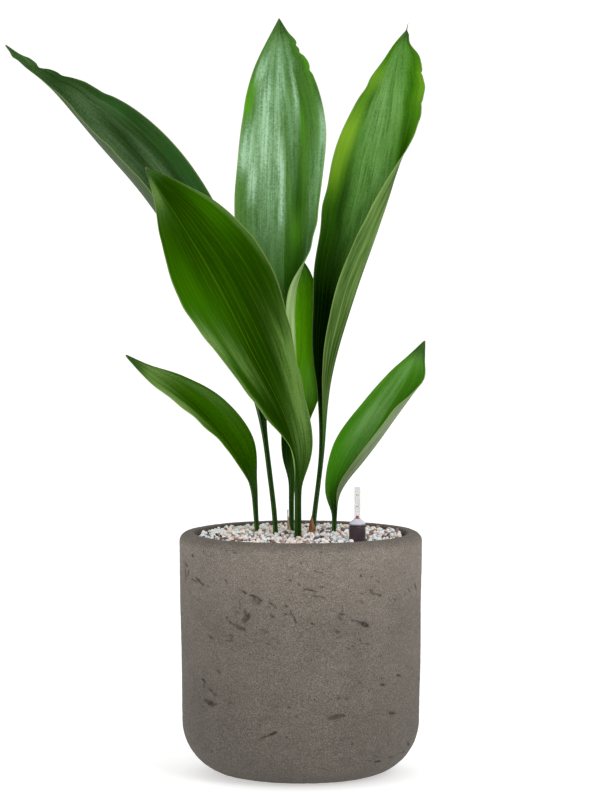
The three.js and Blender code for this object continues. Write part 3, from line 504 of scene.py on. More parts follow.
def leafSurface(plan, shape, notches):
    t = sectionPlaces(plan, shape)
    for _, at, length, _ in notches:
        t = np.append(t, at + np.linspace(-1, 1, 9) * 2 * length / shape["bladeLength"])
    if notches:
        t = np.unique(np.round(np.append(t, 1), 3))
    rows = np.array(plan["rows"], float)
    place, face, half, rise, curl = np.split(throughRows(rows, t), [3, 5, 7, 9], axis=1)
    along = throughRows(rows[:, :3], t + 0.001) - throughRows(rows[:, :3], t - 0.001)
    along /= np.linalg.norm(along, axis=1)[:, None]
    up = towards(*face.T)
    up -= (up * along).sum(1)[:, None] * along
    up /= np.linalg.norm(up, axis=1)[:, None]
    right = np.cross(along, up)
    height, count, phase, shift = plan["wave"]
    columns, blade, rib = shape["columns"], shape["blade"], shape["rib"]
    # one more column stands just inside the margin
    us = np.append(np.arange(columns) / columns, [0.985, 1])
    travelled = np.append(0, np.cumsum(np.linalg.norm(np.diff(place, axis=0), axis=1)))
    isBlade = smooth((half.max(1) - 5) / 12)
    widest = half.max()
    none = np.zeros(len(t))
    sections = {}
    for side, sign in ((0, -1), (1, 1)):
        width = np.maximum(half[:, side], shape["leastHalf"])
        for notchSide, at, length, depth in notches:
            if notchSide == side:
                room = smooth((width - max(depth, 0) - 0.6) / 3)
                width = width - depth * np.exp(-((t - at) * travelled[-1] / length) ** 2) * room
        swell = np.clip((width - 6) / 20, 0, 1)
        point, normal = place, up
        for k, u in enumerate(us):
            if k:
                middle = (us[k - 1] + u) / 2
                angle = np.radians(rise[:, side] + curl[:, side] * smooth((middle - 0.1) / 0.8))
                cos, sin = np.cos(angle)[:, None], np.sin(angle)[:, None]
                step = (width * (u - us[k - 1]))[:, None]
                point = point + sign * right * cos * step + up * sin * step
                normal = up * cos - sign * right * sin
            # the blade ripples along its length, folds over its veins and flutters at the margin
            reach = u * widest
            ripple = height * swell * np.sin(2 * np.pi * (count * t + phase + side * shift)) * u ** 2
            veins = np.stack([none + reach / 5.5 + 40 * side, travelled / 260, none], 1)
            wander = valueNoise(veins, 1, 31)
            fold = np.sin(2 * np.pi * reach / shape["plicationPitch"] + 1.6 * wander)
            fold = shape["plication"] * fold * isBlade * smooth(u * 6) * smooth((1.02 - u) * 8)
            margin = np.stack([travelled / shape["edgeWaveSize"], none + 7 * side, none], 1)
            flutter = valueNoise(margin, 1, 37)
            flutter = shape["edgeWave"] * flutter * swell * smooth((u - 0.7) / 0.3)
            groove = shape["groove"] * isBlade * math.exp(-(reach / shape["grooveWidth"]) ** 2)
            depth = blade + (rib - blade) * np.exp(-(width * u / shape["ribSpread"]) ** 2)
            if not k:
                depth = rib / np.cos(np.radians(rise.mean(1)))
            wavy = ripple + fold + flutter
            upper = point + normal * (wavy - groove)[:, None]
            sections[sign * k] = upper, point + normal * (wavy - depth)[:, None], sign * u
    sections = [sections[k] for k in sorted(sections)]
    top, bottom = (np.stack([section[k] for section in sections], 1) for k in (0, 1))
    u = np.array([section[2] for section in sections])
    if "awn" in plan:
        # the tip runs out in a dry hair
        middle = top[-1].mean(0)
        for share, narrow in ((0.3, 0.7), (1, 0.3)):
            shift = middle + np.array(plan["awn"]) * share
            top = np.append(top, [shift + (top[-1] - top[-1].mean(0)) * narrow], 0)
            bottom = np.append(bottom, [shift + (bottom[-1] - top[-2].mean(0)) * narrow], 0)
            travelled, t = np.append(travelled, travelled[-1] + 3), np.append(t, 1)
            half = np.append(half, half[-1:], 0)
    return top, bottom, u, travelled, half, t


# tone patches of a blade: place in rows, place across from -1 to 1, reach in rows, reach across, strength;
# bloomAndSheen is where the wax is pale and where a sheen is painted, paintedShade is painted shade where
# little light comes in, lighterGreen is a lighter, yellower green that is partly a painted highlight
leafPatches = {
    "leaf_tall_left": {
        "bloomAndSheen": [(8.6, 0.14, 1.4, 0.14, 0.7), (9.5, 0.4, 0.45, 0.22, 0.62), (8.3, 0.52, 0.5, 0.1, 0.6),
                  (7.7, 0.4, 0.5, 0.16, 0.5), (9, 0, 1.6, 0.03, 1.2), (11.3, 0.2, 0.5, 1.4, 0.7),
                  (9.5, 0.72, 0.5, 0.05, 0.4)],
        "paintedShade": [(8.9, 0.62, 0.7, 0.22, 0.5), (8.2, 0.34, 0.5, 0.06, 0.4), (10.3, 0.6, 0.5, 0.5, 0.4),
                 (7.75, 0.6, 0.14, 0.03, 0.8)],
        "lighterGreen": [(7.9, 0.88, 0.6, 0.16, 0.6), (9.2, 0.8, 0.35, 0.16, 0.5)],
    },
    "leaf_tall_middle": {
        "bloomAndSheen": [(9.97, -0.7, 0.25, 0.16, 0.7), (9.72, -0.04, 0.5, 0.11, 0.95),
                  (9.6, 0.36, 0.45, 0.06, 0.8), (9.1, -0.38, 0.6, 0.25, 0.6),
                  (8.73, -0.82, 0.3, 0.14, 0.75), (8.25, -0.66, 0.35, 0.1, 0.8),
                  (8.5, -0.88, 0.16, 0.12, 0.6), (8.69, -0.42, 0.3, 0.07, 0.5),
                  (8.5, -0.07, 0.35, 0.09, 0.7), (8.2, -0.3, 0.7, 0.28, 0.4), (7.9, -0.04, 0.35, 0.07, 0.8),
                  (8.9, 0.95, 0.4, 0.08, 0.7), (8.3, 0.82, 0.6, 0.16, 0.25), (7.2, -0.35, 0.6, 0.4, 0.12),
                  (6.4, 0.95, 0.9, 0.3, 0.5), (10.3, -0.1, 0.4, 0.6, 0.3), (9.55, -0.5, 0.45, 0.2, 0.55),
                  (9, 0.2, 0.7, 0.12, 0.3)],
        "paintedShade": [(10.1, 0.6, 0.5, 0.4, 0.35), (8.4, 0.33, 0.7, 0.14, 0.5), (7.95, 0.42, 0.4, 0.2, 0.5),
                 (7, 0.55, 0.6, 0.5, 0.6), (6.2, 0.2, 0.6, 0.6, 0.8), (7, -0.3, 0.8, 0.4, 0.5),
                 (8.95, 0.12, 0.4, 0.06, 0.4), (9.3, 0.62, 0.6, 0.14, 0.3), (9.9, -0.36, 0.14, 0.14, 0.4)],
        "lighterGreen": [(9.28, -0.93, 0.24, 0.13, 1), (9.66, -0.88, 0.2, 0.16, 0.6), (7.4, 0.3, 0.35, 0.14, 0.35),
                  (9, 0.46, 0.3, 0.06, 0.4), (10.1, 0.97, 0.3, 0.12, 0.7)],
    },
    "leaf_front": {
        "bloomAndSheen": [(9.2, -0.7, 0.55, 0.5, 1.3), (8.2, 0.96, 1.4, 0.06, 0.5), (5.6, 0.8, 0.55, 0.35, 1.1),
                  (4.9, 0.8, 0.5, 0.35, 0.5), (4.3, 0.6, 0.7, 0.7, 0.5), (6.35, -0.95, 0.3, 0.2, 1),
                  (6, -0.5, 0.4, 0.14, 0.7), (5.5, -0.98, 0.6, 0.1, 0.9), (5.7, -0.25, 0.5, 0.06, 0.4)],
        "paintedShade": [(8.9, 0.35, 0.8, 0.4, 0.7), (4.9, -0.45, 0.8, 0.4, 0.9), (6.2, 0.6, 1.1, 0.3, 0.7),
                 (5.8, 0.1, 0.7, 0.35, 0.6), (7.6, -0.1, 0.6, 0.3, 0.3)],
        "lighterGreen": [(6.9, -0.75, 0.8, 0.35, 0.7), (8.1, 0.75, 0.6, 0.2, 0.6), (6.6, -0.2, 0.5, 0.2, 0.25)],
    },
    "leaf_tall_right": {
        "bloomAndSheen": [(8.7, -0.08, 1.5, 0.45, 0.75), (7.2, -0.1, 0.7, 0.4, 0.5), (10.1, 0.1, 0.5, 0.5, 0.3),
                  (8.9, 0.3, 0.7, 0.1, 0.3), (8.4, -0.3, 0.5, 0.08, 0.3)],
        "paintedShade": [(5.2, -0.6, 1.1, 0.8, 0.9), (6.4, -0.75, 0.7, 0.4, 0.5), (4.4, 0, 1, 2, 1),
                 (5.6, 0.6, 0.8, 0.3, 0.6), (9.5, 0.08, 0.5, 0.08, 0.35), (7.6, 0.7, 0.7, 0.2, 0.7),
                 (7.2, -0.6, 0.5, 0.1, 0.5), (8.9, 0.6, 0.5, 0.05, 0.3), (8.7, -0.6, 0.2, 0.06, 0.4)],
        "lighterGreen": [(8, -0.87, 0.5, 0.2, 0.8), (9.2, -0.75, 0.35, 0.3, 0.4), (7.4, -0.9, 0.3, 0.12, 0.5),
                  (9.2, 0.93, 0.6, 0.12, 0.4)],
    },
    "leaf_middle_back": {
        "bloomAndSheen": [(6.2, 0.3, 0.8, 0.5, 0.3)],
        "paintedShade": [(3.8, 0, 1.3, 2, 1.8), (5.6, 0.7, 0.8, 0.5, 0.55)],
        "lighterGreen": [(9, 0.3, 1, 0.5, 0.9), (7.6, 0.2, 1, 0.8, 0.7)],
    },
    "leaf_low_left": {
        "bloomAndSheen": [(6.9, 0.1, 0.7, 0.8, 0.7), (5.5, 0.75, 0.9, 0.2, 0.3), (6, -0.9, 0.9, 0.3, 1.4)],
        "paintedShade": [(3.4, 0, 0.5, 1, 0.5), (5.2, -0.3, 0.5, 0.4, 0.3)],
        "lighterGreen": [(4.8, 0.5, 0.9, 0.4, 0.4)],
    },
    "leaf_low_right": {
        "bloomAndSheen": [(4.9, -0.3, 0.9, 0.35, 0.5), (6.4, -0.3, 0.7, 0.4, 0.35), (7.1, 0.3, 0.4, 0.4, 0.4)],
        "paintedShade": [(5.6, 0.35, 0.7, 0.25, 0.5), (3, 0, 0.4, 1, 0.4)],
        "lighterGreen": [(3.8, -0.6, 0.8, 0.5, 0.9)],
    },
}


def patchTone(patches, rows, u):
    tone = np.zeros((len(rows), len(u)))
    for place, across, reach, wide, strength in patches:
        near = ((rows[:, None] - place) / reach) ** 2 + ((u[None, :] - across) / (1.08 * wide)) ** 4
        # a patch well off the midrib stops at it, as the two halves of a blade lie at an angle
        own = smooth((u[None, :] * np.sign(across) + 0.03) / 0.06) if 0.15 < abs(across) < 2 else 1
        tone += strength * np.exp(-near) * own
    return np.concatenate([tone, tone], 1).ravel()


def closedSheet(top, bottom):
    # points and faces of a thin sheet: upper and lower side, right and left rim, foot and tip
    rows, wide = top.shape[:2]
    grid = np.arange(rows * 2 * wide).reshape(rows, 2 * wide)
    over, under = grid[:, :wide], grid[:, wide:]
    quads = [
        (over[:-1, :-1], over[:-1, 1:], over[1:, 1:], over[1:, :-1]),
        (under[:-1, :-1], under[1:, :-1], under[1:, 1:], under[:-1, 1:]),
        (over[:-1, -1], under[:-1, -1], under[1:, -1], over[1:, -1]),
        (over[:-1, 0], over[1:, 0], under[1:, 0], under[:-1, 0]),
        (over[0, :-1], under[0, :-1], under[0, 1:], over[0, 1:]),
        (over[-1, :-1], over[-1, 1:], under[-1, 1:], under[-1, :-1]),
    ]
    faces = [np.stack([corner.ravel() for corner in quad], -1) for quad in quads]
    return np.concatenate([top, bottom], 1).reshape(-1, 3), np.concatenate(faces)


def buildLeaf(name, plan, shape, materials, patches, notches=()):
    top, bottom, u, travelled, half, t = leafSurface(plan, shape, notches)
    points, faces = closedSheet(top, bottom)
    rows, wide = top.shape[:2]
    faceSlots = np.ones(len(faces), int)
    faceSlots[:(rows - 1) * (wide - 1)] = 0
    both = np.append(u, u)
    values = {
        "across": np.tile(both * half.max(), rows), "along": np.repeat(travelled, 2 * wide),
        "edge": np.tile(np.abs(both), rows), "blade": np.repeat(smooth((half.max(1) - 3.5) / 14), 2 * wide),
        "toTip": np.repeat(travelled[-1] - travelled, 2 * wide),
    }
    for tone, places in patches.items():
        values[tone] = patchTone(places, t * (len(plan["rows"]) - 1), u)
    addPiece(name + "_skin", points, faces, materials, [name], faceSlots=faceSlots, values=values,
             sharp=55)


# Dry sheaths: brown papery scales that stand half around the foot of two stalks

sheathShape = {"stand": 4.6, "foot": 213.95, "paper": 0.8, "columns": 14, "rows": 46, "crinkle": 0.5}
sheathPlans = {
    "sheath_left": {"stalk": "leaf_middle_back", "top": 270, "side": 128, "half": 4.4,
                    "width": ((0, 0.58, 0.72, 1), (1, 0.9, 0.36, 0.1))},
    "sheath_right": {"stalk": "leaf_tall_right", "top": 264, "side": 128, "half": 6,
                     "width": ((0, 0.76, 0.9, 1), (1, 0.9, 0.5, 0.08))},
}


def buildSheath(name, plan, shape, material):
    stalk = throughRows(leafPlans[plan["stalk"]]["rows"], np.linspace(0, 1, 4000))
    outward = towards(plan["side"] + 180, 0)
    stages = np.linspace(0, 1, shape["rows"])
    heights = shape["foot"] + (plan["top"] - shape["foot"]) * stages
    foot = np.stack([np.interp(heights, stalk[:, 2], stalk[:, k]) for k in range(3)], 1)
    foot += outward * shape["stand"]
    foot[:, 2] = heights
    taper = np.interp(stages, *plan["width"])
    none = np.zeros(len(stages))
    # the margins are torn towards the top
    torn = 1 + 0.34 * valueNoise(np.stack([heights / 4, none, none + plan["top"]], 1), 1, 41) * stages
    half = plan["half"] * taper * torn
    up = towards(plan["side"], 0)
    right = np.cross([0, 0, 1], up)
    # from the middle the scale curls round the stalk to both margins
    us = np.linspace(-1, 1, 2 * shape["columns"] + 1)
    angles = np.radians(4 + 84 * smooth((np.abs(us) - 0.1) / 0.8))
    steps = np.diff(us)
    middle = (angles[1:] + angles[:-1]) / 2
    sideways = np.append(0, np.cumsum(steps * np.cos(middle)))
    inward = np.append(0, np.cumsum(steps * np.sin(middle) * np.sign(us[1:] + us[:-1])))
    sideways -= sideways[shape["columns"]]
    inward -= inward[shape["columns"]]
    curve = sideways[:, None] * right + inward[:, None] * up
    top = foot[:, None] + half[:, None, None] * curve
    normal = np.cos(angles)[:, None] * up - (np.sign(us) * np.sin(angles))[:, None] * right
    flat = top.reshape(-1, 3)
    crinkle = shape["crinkle"] * (valueNoise(flat * [1, 1, 0.25], 2.2, 43) + 0.5 * valueNoise(flat, 1.3, 44))
    top = top + normal[None] * (crinkle.reshape(top.shape[:2]) * (0.2 + 0.8 * stages[:, None]))[..., None]
    bottom = top - normal[None] * shape["paper"] * (1 - 0.6 * stages[:, None, None])
    points, faces = closedSheet(top, bottom)
    values = {"stage": np.repeat(stages, 2 * len(us)),
              "across": np.tile(np.append(us, us) * plan["half"], len(stages))}
    addPiece(name + "Paper", points, faces, [material], [name], values=values, sharp=50)


# Water level gauge: moulded pipe, clear cap with a closed sight tube, float with a red pointer

gaugeShape = {
    "centre": (57.6, -35), "columns": 72, "pipeFoot": 20.35, "pipeFloor": 22.35, "pipeTop": 260,
    "pipeRadius": 8.5, "pipeBore": 7, "slotHeight": 24, "plugRadius": 6.65, "plugDepth": 4,
    "domeFoot": 260.35, "domeTop": 267, "sightRadius": 3.2, "sightBore": 2.4, "sightTop": 299.8,
    "marks": (291.6, 280), "markTurn": 24, "markSteps": 8,
    "floatRadius": 5.6, "floatLength": 64, "rod": 0.9, "tipRadius": 1.6, "tipLow": 266.8, "tipLength": 3.4,
}


def buildPipe(shape, material):
    # from the axis out, up the wall and back down the bore; wall and bore share their heights at the slots
    foot, floor, top, columns = shape["pipeFoot"], shape["pipeFloor"], shape["pipeTop"], shape["columns"]
    outer, bore, slotLow = shape["pipeRadius"], shape["pipeBore"], floor + 1
    slotHigh = slotLow + shape["slotHeight"]
    profile = [
        (0, foot), (outer - 0.6, foot), (outer, foot + 0.6), (outer, slotLow), (outer, slotHigh),
        (outer, top - 20), (outer, top - 2.6), (outer - 0.25, top - 2.3), (outer - 0.25, top - 1.9),
        (outer, top - 1.6), (outer, top - 0.9), (outer - 0.25, top - 0.3), (outer - 0.8, top),
        (bore + 0.3, top), (bore, top - 0.3), (bore, slotHigh), (bore, slotLow), (bore, floor), (0, floor),
    ]
    points, _, rings, _ = turned(profile, columns, shape["centre"])
    cut = {(6 + 24 * k + c) % columns for k in range(3) for c in (-2, -1, 0, 1)}
    faces = []
    for row, (low, high) in enumerate(zip(rings, rings[1:])):
        for j in range(columns):
            k = (j + 1) % columns
            if j not in cut or row not in (3, 15):
                faces.append(list(dict.fromkeys([low[j], low[k], high[k], high[j]])))
    # the sides of the slots join the wall to the bore
    low, high, boreHigh, boreLow = rings[3], rings[4], rings[15], rings[16]
    for j in cut:
        k = (j + 1) % columns
        faces += [[low[k], boreLow[k], boreLow[j], low[j]], [boreHigh[j], boreHigh[k], high[k], high[j]]]
        if (j - 1) % columns not in cut:
            faces.append([boreLow[j], boreHigh[j], high[j], low[j]])
        if k not in cut:
            faces.append([high[k], boreHigh[k], boreLow[k], low[k]])
    addPiece("gaugePipe", points, faces, [material], ["gauge_pipe"], sharp=35)


def buildSightGlass(shape, materials):
    centre, columns, seat = shape["centre"], shape["columns"], shape["domeFoot"] - shape["plugDepth"]
    outer, plug, foot = shape["pipeRadius"], shape["plugRadius"], shape["domeFoot"]
    sight, bore, top = shape["sightRadius"], shape["sightBore"], shape["sightTop"]
    # the dome from its seat to the sight tube: in from the pipe's radius, up from its foot
    dome = [(outer - inwards, foot + up) for inwards, up in (
        (0.1, 0), (-0.1, 0.3), (-0.1, 1.1), (0.1, 1.6), (0.7, 2.6), (1.6, 3.8), (2.9, 5), (4, 5.8))]
    dome += [(sight + 0.5, foot + 6.4), (sight + 0.15, foot + 7), (sight, foot + 7.8)]
    glass = [(bore, seat), (plug, seat), (plug, foot)] + dome
    glass += [(sight, z) for z in np.linspace(shape["domeTop"] + 4, top - 1.4, 8)]
    glass += arcPoints(sight - 1.4, top - 1.4, 1.4, 15, 90, 5) + [(0, top)]
    glass += [(0, top - 1.2), (bore - 0.5, top - 1.2), (bore, top - 1.7), (bore, foot + 4)]
    # the bore runs on to the ring that the profile began with
    points, faces, rings, _ = turned(glass, columns, centre)
    low, high = rings[-1], rings[0]
    faces += [[low[j], low[(j + 1) % columns], high[(j + 1) % columns], high[j]] for j in range(columns)]
    heights = points[:, 2]
    radii = np.hypot(points[:, 0] - centre[0], points[:, 1] - centre[1])
    faceSlots = []
    for face in faces:
        low, high, wide = min(heights[face]), max(heights[face]), max(radii[face])
        inner = wide < bore + 0.05 or low < foot - 0.1
        faceSlots.append(3 if inner else 0 if low > shape["domeTop"] else 2 if high < foot + 1.7 else 1)
    addPiece("gaugeSightGlass", points, faces, materials, ["gauge_sight_glass"],
             faceSlots=faceSlots, sharp=40)


def buildMarks(shape, material):
    # printed dashes, bent round the front of the sight tube
    sight, steps = shape["sightRadius"], shape["markSteps"]
    dash = [(sight - 0.02, -0.55), (sight + 0.14, -0.45), (sight + 0.14, 0.45), (sight - 0.02, 0.55)]
    points, faces = [], []
    for height in shape["marks"]:
        start = len(points)
        for turn in np.radians(np.linspace(-shape["markTurn"], shape["markTurn"], steps + 1)):
            points += [aroundAxis(shape["centre"], radius, turn, height + rise) for radius, rise in dash]
        for s in range(steps):
            for q in range(4):
                a, b = start + 4 * s + q, start + 4 * s + (q + 1) % 4
                faces.append([a, a + 4, b + 4, b])
        last = start + 4 * steps
        faces += [[start, start + 1, start + 2, start + 3], [last + 3, last + 2, last + 1, last]]
    addPiece("gaugeMarks", points, faces, [material], sharp=40)


def buildFloat(shape, materials):
    # foam cylinder, its rod and the cap at the top of the rod, turned in one
    floatFoot = shape["pipeFloor"] + 0.35
    cylinder, rod, tip, cap = shape["floatRadius"], shape["rod"], shape["tipLow"], shape["tipRadius"]
    floatTop, tipTop = floatFoot + shape["floatLength"], tip + shape["tipLength"]
    stem = [(0, floatFoot), (cylinder - 0.8, floatFoot), (cylinder, floatFoot + 0.8)]
    stem += [(cylinder, z) for z in np.linspace(floatFoot + 4, floatTop - 1, 12)]
    stem += [(cylinder - 0.9, floatTop), (rod + 0.5, floatTop + 2.2), (rod, floatTop + 3)]
    stem += [(rod, z) for z in np.linspace(floatTop + 20, tip - 0.3, 10)]
    pointer = [(rod, tip), (cap - 0.3, tip + 0.15), (cap, tip + 0.5), (cap, tipTop - 1.1),
               (cap - 0.2, tipTop - 0.5), (cap - 0.5, tipTop - 0.1), (0, tipTop)]
    points, faces, _, _ = turned(stem + pointer, 48, shape["centre"])
    faceSlots = []
    for face in faces:
        low, high = min(points[face, 2]), max(points[face, 2])
        faceSlots.append(2 if high > tip + 0.05 else 1 if low > floatTop + 2 else 0)
    addPiece("gaugeFloat", points, faces, materials, ["gauge_float"], body="float",
             faceSlots=faceSlots, sharp=40)


# Materials: pattern sizes are in millimetres, a little coarser than life where they would not show

# pit is the colour of the shade painted into tears and pinholes
stoneLook = {
    "dark": "#4d4741", "body": "#686159", "light": "#887f76", "pit": "#2e251f",
    "grain": 1.1, "blotch": 38, "streak": 14, "pinhole": 3.4, "tearShadeSize": 7,
}


def castFibreStone(look):
    # cement with sand and fibre, cast in a mould and washed: dry, finely speckled, blotched where it cured
    material, add, shader = newMaterial("castFibreStone", Roughness=0.86, IOR=1.5, Specular_IOR_Level=0.35)
    at = add("TexCoord").outputs["Object"]
    pit = add("Attribute", attribute_name="pit").outputs["Fac"]
    grain = add("TexNoise", {"Vector": at, "Scale": 1000 / look["grain"], "Detail": 3, "Roughness": 0.75})
    blotch = add("TexNoise", {"Vector": at, "Scale": 1000 / look["blotch"], "Detail": 5, "Roughness": 0.6})
    flat = add("Mapping", {"Vector": at, "Scale": (1, 1, 2.6)})
    streak = add("TexNoise", {"Vector": flat, "Scale": 1000 / look["streak"], "Detail": 4,
                              "Roughness": 0.65})
    sand = add("ValToRGB", [grain], stops=[(0.34, look["dark"]), (0.5, look["body"]), (0.66, look["light"])])
    cured = add("Math", [blotch, streak], "ADD")
    shade = add("MapRange", [cured, 0.7, 1.3, 0.86, 1.13])
    # painted light: the face is painted darker towards the foot and paler towards the rim, as if lit from
    # above
    high = add("SeparateXYZ", [at]).outputs["Z"]
    paintedFootShade = add("MapRange", [high, 0.02, 0.14, 0.76, 0.97])
    paintedRimwardLight = add("MapRange", [high, 0.15, 0.245, 0, 0.4], interpolation_type="SMOOTHSTEP")
    paintedTopLight = add("Math", [paintedFootShade, paintedRimwardLight], "ADD")
    # painted shade: a darker band on the rounded lip
    lip = add("MapRange", [high, 0.24, 0.249, 0, 0.45])
    paintedTopLight = add("Math", [paintedTopLight, lip], "SUBTRACT")
    shade = add("Math", [shade, paintedTopLight], "MULTIPLY")
    # painted shade: the bore above the granulate is painted darker, where little light reaches it
    flatAt = add("VectorMath", [at, (1, 1, 0)], "MULTIPLY")
    outFrom = add("VectorMath", [flatAt], "LENGTH").outputs["Value"]
    footward = add("MapRange", [high, 0.1, 0.2, 0.1, 0])
    outFrom = add("Math", [outFrom, footward], "ADD")
    bore = add("MapRange", [outFrom, 0.1085, 0.112, 0.5, 1])
    shade = add("Math", [shade, bore], "MULTIPLY")
    toned = add("VectorMath", {0: sand, "Scale": shade}, "SCALE")
    # painted shade: pinholes are painted dark as well
    holes = add("TexVoronoi", {"Vector": at, "Scale": 1000 / look["pinhole"], "Randomness": 1})
    few = add("SeparateColor", [holes.outputs["Color"]])
    size = add("MapRange", [few, 0.82, 1, 0, 0.24])
    pinhole = add("Math", [holes.outputs["Distance"], size], "LESS_THAN")
    ragged = add("MapRange", [grain, 0.3, 0.7, -0.5, 0.4])
    edge = add("Math", [pit, ragged], "ADD")
    hollow = add("MapRange", [edge, 0, 0.42])
    dark = add("Math", [hollow, pinhole], "MAXIMUM")
    # painted shade: the floor of a tear is as sandy as the face, and the shade painted into it is deeper in
    # some tears than in others
    tearShadeVariation = add("TexNoise", {"Vector": at, "Scale": 1000 / look["tearShadeSize"], "Detail": 4, "Roughness": 0.7})
    depth = add("MapRange", [tearShadeVariation, 0.36, 0.6, 0.42, 1])
    paintedPitShade = add("Math", [dark, depth], "MULTIPLY")
    colour = add("MixRGB", [paintedPitShade, toned, look["pit"]])
    raised = add("Math", [grain, dark], "SUBTRACT")
    bump = add("Bump", {"Height": raised, "Strength": 0.5, "Distance": 0.0006})
    setInputs(shader, {"Base Color": colour, "Normal": bump})
    return material


def crushedStone(name, light, dark, roughness, pores):
    # broken grit, dull and dusty; each grain has its own tone
    material, add, shader = newMaterial(name, Roughness=roughness, IOR=1.5, Specular_IOR_Level=0.3)
    at = add("TexCoord").outputs["Object"]
    tone = add("Attribute", attribute_name="tone").outputs["Fac"]
    speckle = add("TexNoise", {"Vector": at, "Scale": 1000 / pores, "Detail": 4, "Roughness": 0.7})
    both = add("Math", [speckle, 0.75, -0.375], "MULTIPLY_ADD")
    shade = add("Math", [tone, both], "ADD")
    colour = add("ValToRGB", [shade], stops=[(0.05, dark), (0.85, light)])
    bump = add("Bump", {"Height": speckle, "Strength": 0.6, "Distance": 0.0005})
    setInputs(shader, {"Base Color": colour, "Normal": bump})
    return material


# upper face: darker and lighter streaks, pale wax with painted sheen, painted shade and lighter green, vein
# lines and their strength;
# underside: dark, light; gloss of the wax and strength of the mottle
leafLooks = {
    "leaf_tall_left": {
        "upper": ("#213f13", "#31521c"), "bloomAndSheen": "#587a4a", "paintedShade": "#17320c", "lighterGreen": "#2e6224",
        "line": "#5c7c4c", "lines": 0.26, "under": ("#2f4720", "#445c2f"), "gloss": 0.1, "mottle": 0.45,
    },
    "leaf_tall_middle": {
        "upper": ("#38641c", "#50802e"), "bloomAndSheen": "#9ac49c", "paintedShade": "#1e4800", "lighterGreen": "#4e9204",
        "line": "#5c8c34", "lines": 0.1, "under": ("#74964e", "#a2bc82"), "gloss": 0.12, "mottle": 0.5,
    },
    "leaf_front": {
        "upper": ("#1b3c00", "#274c00"), "bloomAndSheen": "#5e8236", "paintedShade": "#122c00", "lighterGreen": "#326800",
        "line": "#567a14", "lines": 0.26, "under": ("#54763a", "#7b9956"), "gloss": 0, "mottle": 0.25,
    },
    "leaf_tall_right": {
        "upper": ("#2c6000", "#447e04"), "bloomAndSheen": "#669848", "paintedShade": "#041c00", "lighterGreen": "#82ae28",
        "line": "#5c9028", "lines": 0.12, "under": ("#3a5a20", "#6c8c46"), "gloss": 0.08, "mottle": 0.35,
    },
    "leaf_middle_back": {
        "upper": ("#468600", "#60a40c"), "bloomAndSheen": "#5c8c3c", "paintedShade": "#042600", "lighterGreen": "#5a9e00",
        "line": "#64982c", "lines": 0.16, "under": ("#527830", "#719448"), "gloss": 0, "mottle": 0.2,
    },
    "leaf_low_left": {
        "upper": ("#2e5800", "#3d7000"), "bloomAndSheen": "#7fa052", "paintedShade": "#1c4400", "lighterGreen": "#428000",
        "line": "#56800c", "lines": 0.2, "under": ("#6c8c4a", "#94ac70"), "gloss": 0, "mottle": 0.16,
    },
    "leaf_low_right": {
        "upper": ("#36700c", "#4e8a1c"), "bloomAndSheen": "#7caa62", "paintedShade": "#1c4a00", "lighterGreen": "#428c02",
        "line": "#6a982c", "lines": 0.16, "under": ("#607848", "#808f6e"), "gloss": 0.08, "mottle": 0.2,
    },
}
waxShape = {
    "vein": 5.6, "fine": 1, "fineStretch": 0.02, "streak": 8, "streakStretch": 0.09, "mottle": 2.2,
    "lineWidth": 0.09, "underWidth": 0.26, "ribWidth": 0.8,
}


